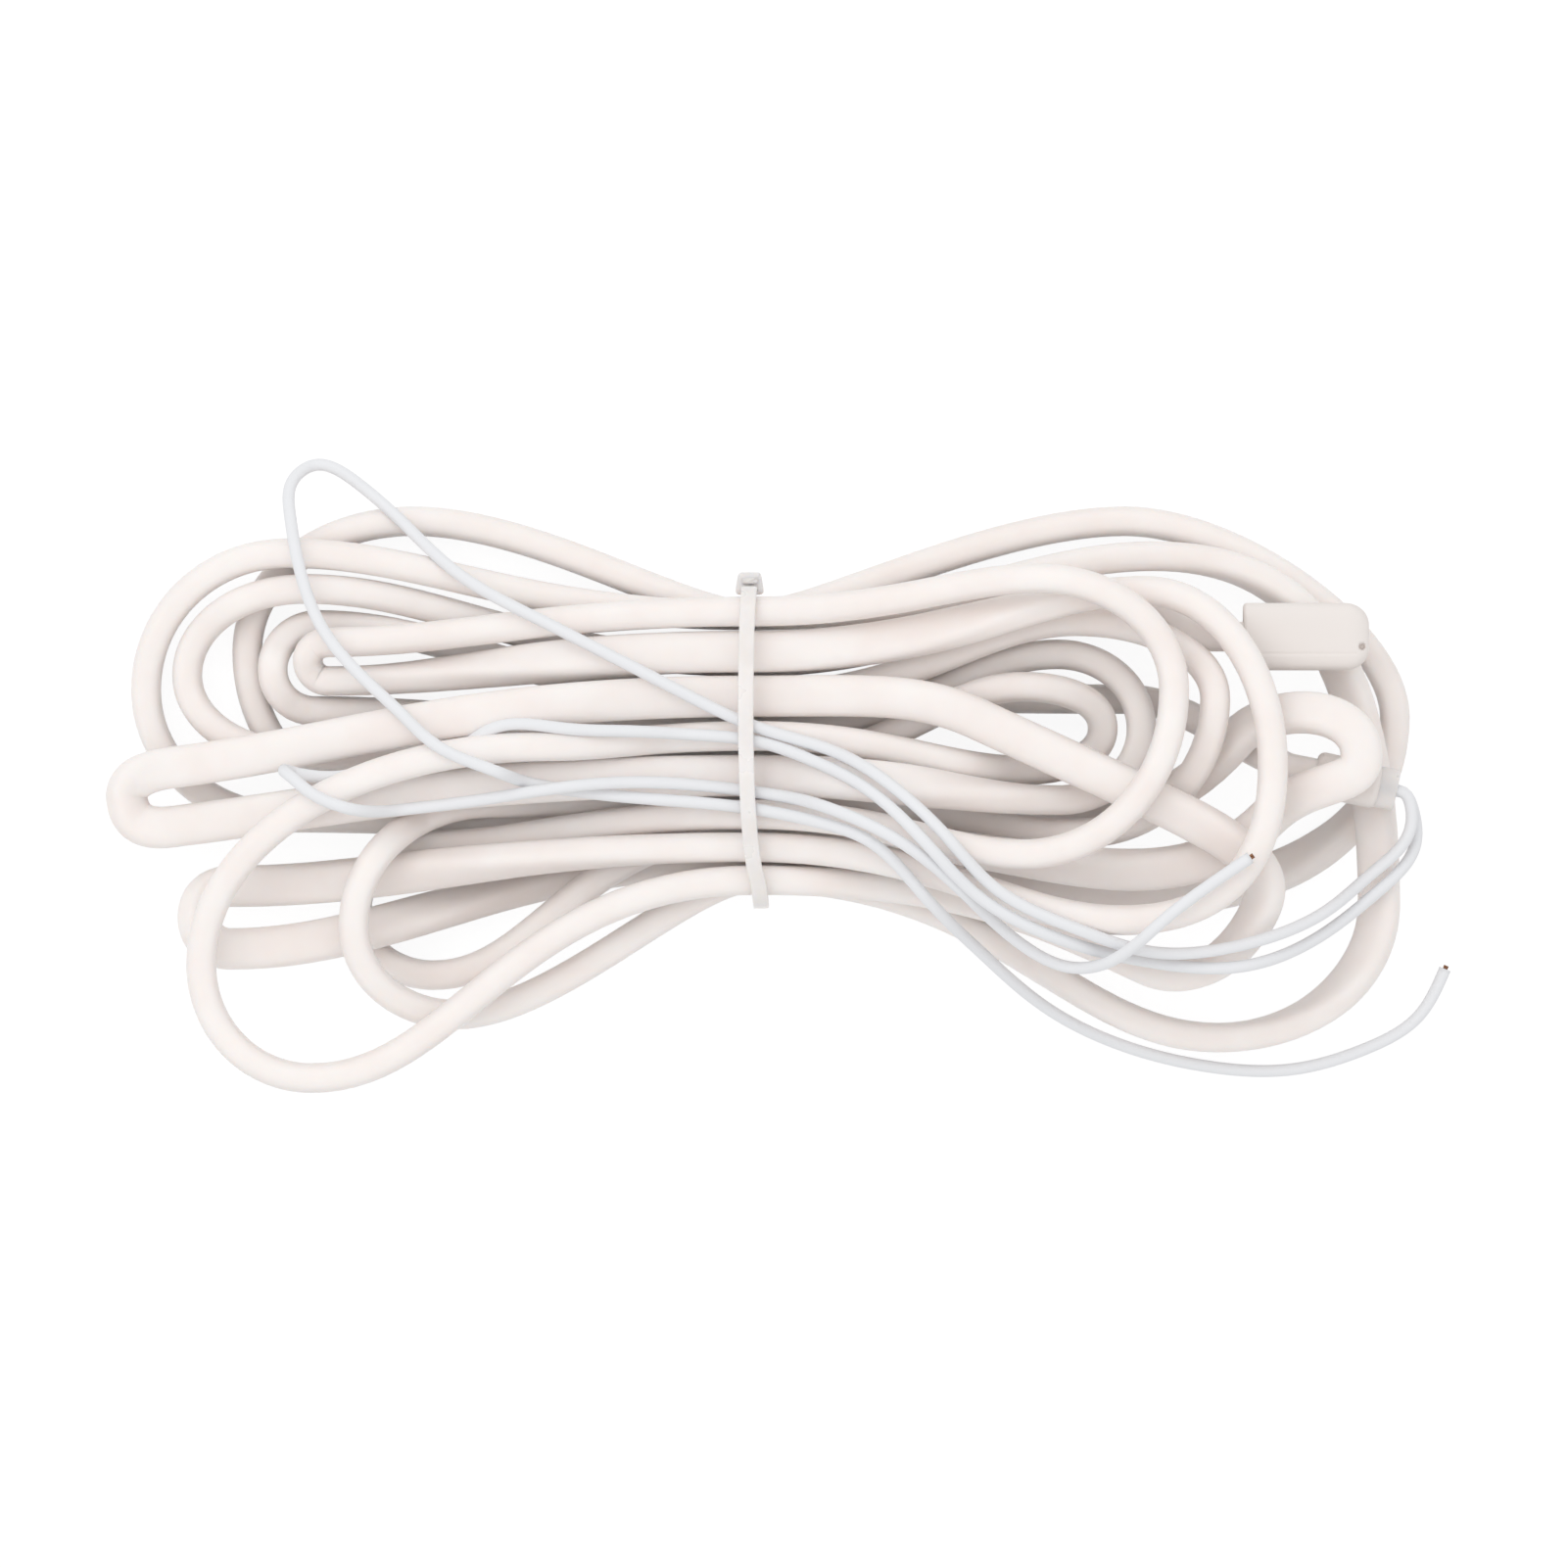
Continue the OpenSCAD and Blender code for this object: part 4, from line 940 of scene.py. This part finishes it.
@dataclass
class Lead:
    """A cold lead: silicone insulation over a twisted strand, cut straight at its end."""

    number: int
    stack: int
    table: tuple[tuple[float, float, float], ...]
    radius: float = 1.025
    bore: float = 0.55
    wire_r: float = 0.15
    lay_mm: float = 14.0
    bare: float = 0.6
    step: float = 0.9

    def line(self, first: float) -> np.ndarray:
        """Returns the lead's line, from that far inside the splice to its cut end."""
        z = self.stack * 1.325
        inside = SPLICE_MOUTH.placed(np.array([[first, 0, z], [14.0, 0, z], [15.0, 0, z]]))
        knots = np.concatenate([inside, np.array(self.table, dtype=float)])
        along = run_lengths(knots)
        at = np.linspace(0, along[-1], int(along[-1] / self.step))
        return np.column_stack([springy(along, knots[:, 0], at), springy(along, knots[:, 1], at),
                                without_overshoot(along, knots[:, 2], at)])

    def build(self) -> bpy.types.Object:
        """Makes the insulation, hollow where its end is cut, and the strand inside it."""
        line = self.line(9.8)
        ring = soft_outline(1, 1, 2, 20)
        side, up = frames(line)
        rings = carried(ring * self.radius, line)
        rim = [line[-1] + side[-1] * o[:, :1] + up[-1] * o[:, 1:]
               for o in (ring * (self.radius - 0.06), ring * self.bore)]
        back = line[-3] + side[-3] * ring[:, :1] * self.bore + up[-3] * ring[:, 1:] * self.bore
        shell = Shell.lofted(np.concatenate([rings, np.stack(rim), back[None]]))
        piece = shell.put_down(f"lead_{self.number}", LEAD_SILICONE,
                               (f"lead_{self.number}_insulation",))
        self.strand().put_down(f"lead_{self.number}_strand", COPPER_WIRE,
                               (f"lead_{self.number}_conductor",))
        return piece

    def strand(self) -> Shell:
        """Works out seven wires: one in the middle, and six wound round it one lay at a time."""
        line = self.line(6.9)
        line = np.concatenate([line, line[-1:] + unit(line[-1:] - line[-2:-1]) * self.bare])
        side, up = frames(line)
        along = run_lengths(line)
        outline = soft_outline(self.wire_r, self.wire_r, 2, 6)
        wires = []
        for k in range(7):
            a = (along / self.lay_mm * 2 * np.pi + k * np.pi / 3)[:, None]
            off = 0.0 if k == 6 else 2 * self.wire_r
            centre = line + off * (side * np.cos(a) + up * np.sin(a))
            wires.append(Shell.lofted(carried(outline, centre)))
        whole = wires[0]
        for wire in wires[1:]:
            whole = whole.joined(wire)
        return whole


# ---------------------------------------------------------------- the cable tie

@dataclass
class CableTie:
    """A cable tie drawn round the waist: strap, head and the short stub of its cut tail."""

    width: float = 2.6
    thick: float = 0.95
    head_w: float = 5.0
    head_z: tuple[float, float] = (8.5, 14.0)
    head_y: tuple[float, float] = (25.5, 29.3)
    line: tuple[tuple[float, float], ...] = (
        (26.4, 13.5), (26.4, 21.5), (24.8, 25.2), (3.5, 27.4), (-10.5, 28.3), (-18, 27),
        (-25.2, 25.2), (-26.7, 21.5), (-26.7, 9), (-23.5, 1.8), (-21.5, 0.55), (24.5, 0.55),
        (26.5, 2.5), (27.8, 8.5), (27.8, 15.2))

    @staticmethod
    def across(y: np.ndarray) -> np.ndarray:
        """Returns the strap's place along the hank at each place across it."""
        places = np.array([-28.0, -23.5, -19.5, -14.5, -6, 5, 20, 30])
        shifts = np.array([1.3, 0.8, -0.1, -0.7, -1.2, -1.4, -1.2, -0.6])
        return without_overshoot(places, shifts, y)

    def build(self) -> bpy.types.Object:
        """Makes strap and head as one moulding."""
        path = rounded_corners(np.array(self.line), 2.6, 12)
        gone = run_lengths(path)
        at = np.linspace(0, gone[-1], 300)
        y, z = np.interp(at, gone, path[:, 0]), np.interp(at, gone, path[:, 1])
        centre = np.column_stack([self.across(y), y, z])
        along = unit(np.gradient(centre, axis=0))
        level = unit(np.array([1.0, 0.0, 0.0]) - along * along[:, :1])
        out = np.cross(along, level)
        outline = soft_outline(self.width / 2, self.thick / 2, 7, 28)
        strap = centre[:, None] + level[:, None] * outline[:, :1] + out[:, None] * outline[:, 1:]
        strap[..., 2] = np.maximum(strap[..., 2], 0.05)
        strap[-1, :, 2] += 0.35 * np.sin(9 * outline[:, 0]) + 0.25 * np.sin(4 * outline[:, 0])
        shell = Shell.lofted(strap).joined(self.head())
        return shell.put_down("nylon_tie", NATURAL_NYLON, ("cable_tie",))

    def head(self) -> Shell:
        """Works out the head: a box that narrows outwards, soft on every edge."""
        (z0, z1), (y0, y1) = self.head_z, self.head_y
        s = np.linspace(-1, 1, 25)
        soft = (1 - np.abs(s) ** 6) ** (1 / 6)
        soft[[0, -1]] = 0.55
        outline = soft_outline(1, 1, 6, 48)
        x = outline[:, 0] * self.head_w / 2 * (1 - 0.12 * (outline[:, 1] + 1))
        y = (y0 + y1) / 2 + outline[:, 1] * (y1 - y0) / 2
        mid = np.array([self.across(np.array([(y0 + y1) / 2]))[0], (y0 + y1) / 2])
        z = ((z0 + z1) / 2 + s * (z1 - z0) / 2)[:, None]
        rings = np.stack([mid[0] + x[None] * soft[:, None],
                          mid[1] + (y - mid[1])[None] * soft[:, None],
                          np.broadcast_to(z, (len(s), len(x)))], -1)
        return Shell.lofted(rings)


# ---------------------------------------------------------------- stage

@dataclass
class Studio:
    """A white table, soft light from above and a camera that looks straight down."""

    middle: tuple[float, float] = (5.0, -6.3)
    distance: float = 2700.0
    field: float = 262.5
    lamp_height: float = 1.6
    lamp_side: float = 1.5
    lamp_power: float = 8.2
    sky: float = 0.8
    table_glow: float = 0.9

    def camera(self) -> None:
        """Sets a long lens over the part, whose width of field is lens over distance."""
        data = bpy.data.cameras.new("camera")
        data.sensor_width = 36.0
        data.lens = data.sensor_width * self.distance / self.field
        data.clip_end = 20.0
        eye = bpy.data.objects.new("camera", data)
        eye.location = (self.middle[0] * MM, self.middle[1] * MM, (self.distance + 22) * MM)
        bpy.context.scene.collection.objects.link(eye)
        bpy.context.scene.camera = eye

    def light(self) -> None:
        """Hangs one large soft lamp and sets an even white sky."""
        data = bpy.data.lights.new("softbox", "AREA")
        data.shape, data.size, data.energy = "SQUARE", self.lamp_side, self.lamp_power
        lamp = bpy.data.objects.new("softbox", data)
        lamp.location = (-0.35, 0.45, self.lamp_height)
        lamp.rotation_euler = (np.arctan2(-0.45, self.lamp_height),
                               -np.arctan2(0.35, self.lamp_height), 0)
        bpy.context.scene.collection.objects.link(lamp)
        world = bpy.data.worlds.new("sky")
        world.use_nodes = True
        tree = world.node_tree
        tree.nodes.clear()
        seen = self.seen_directly(tree)
        strength = add_node(tree, "MapRange", {"To Min": self.sky, "To Max": 1.0}, {"Value": seen})
        sky = add_node(tree, "Background", {"Color": (1, 1, 1, 1)},
                       {"Strength": strength.outputs["Result"]})
        add_node(tree, "OutputWorld", links={"Surface": sky.outputs["Background"]})
        bpy.context.scene.world = world

    @staticmethod
    def seen_directly(tree: bpy.types.NodeTree) -> bpy.types.NodeSocket:
        """Returns 1 for rays of the camera, of gloss and of clear plastic, and 0 for light."""
        ray = add_node(tree, "LightPath")
        first = add_node(tree, "Math", {"operation": "MAXIMUM"},
                         {0: ray.outputs["Is Camera Ray"], 1: ray.outputs["Is Glossy Ray"]})
        return add_node(tree, "Math", {"operation": "MAXIMUM"},
                        {0: first.outputs[0], 1: ray.outputs["Is Transmission Ray"]}).outputs[0]

    def table(self) -> None:
        """Lays the table: white paint that also glows a little for the eye, shadows kept."""
        s = 2.0
        mesh = bpy.data.meshes.new("table")
        mesh.from_pydata([(-s, -s, -0.0003), (s, -s, -0.0003), (s, s, -0.0003), (-s, s, -0.0003)],
                         [], [(0, 1, 2, 3)])
        material = bpy.data.materials.new("white_table")
        material.use_nodes = True
        tree = material.node_tree
        tree.nodes.clear()
        paint = add_node(tree, "BsdfDiffuse", {"Color": (0.85, 0.85, 0.85, 1)})
        faint = add_node(tree, "BsdfDiffuse", {"Color": (0.16, 0.16, 0.16, 1)})
        glow = add_node(tree, "Emission", {"Color": (1, 1, 1, 1), "Strength": self.table_glow})
        both = add_node(tree, "AddShader", links={0: faint.outputs[0], 1: glow.outputs[0]})
        mixed = add_node(tree, "MixShader", links={0: self.seen_directly(tree),
                                                   1: paint.outputs[0], 2: both.outputs[0]})
        add_node(tree, "OutputMaterial", links={"Surface": mixed.outputs[0]})
        mesh.materials.append(material)
        table = bpy.data.objects.new("table", mesh)
        bpy.context.scene.collection.objects.link(table)

    def set_up(self) -> None:
        """Sets camera, light and table, and shows colours as they are written."""
        bpy.context.scene.view_settings.view_transform = "Standard"
        self.camera()
        self.light()
        self.table()


INNER_METAL = {"seal_end_cores": COPPER_WIRE, "bridge_crimp": TINNED_COPPER,
               "splice_end_cores": COPPER_WIRE, "butt_crimp_1": TINNED_COPPER,
               "butt_crimp_2": TINNED_COPPER}


def dress_inner_metal() -> None:
    """Gives the metal inside the moulded ends its finishes."""
    for name, finish in INNER_METAL.items():
        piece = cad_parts[name]
        piece.data.materials.clear()
        piece.data.materials.append(finish.material())
        LOG.info("%s: %s", name, finish.name)


def main() -> None:
    """Builds the stage and every piece in order."""
    logging.basicConfig(level=logging.INFO)
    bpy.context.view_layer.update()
    Studio().set_up()
    seal = EndSeal().build()
    HeatingCord().build(seal)
    Splice().build()
    Splice().build_sleeve()
    Lead(1, 1, LEAD_1).build()
    Lead(2, -1, LEAD_2).build()
    CableTie().build()
    dress_inner_metal()
    LOG.info("%s and the rest are in place", seal.name)


if __name__ == "__main__":
    main()
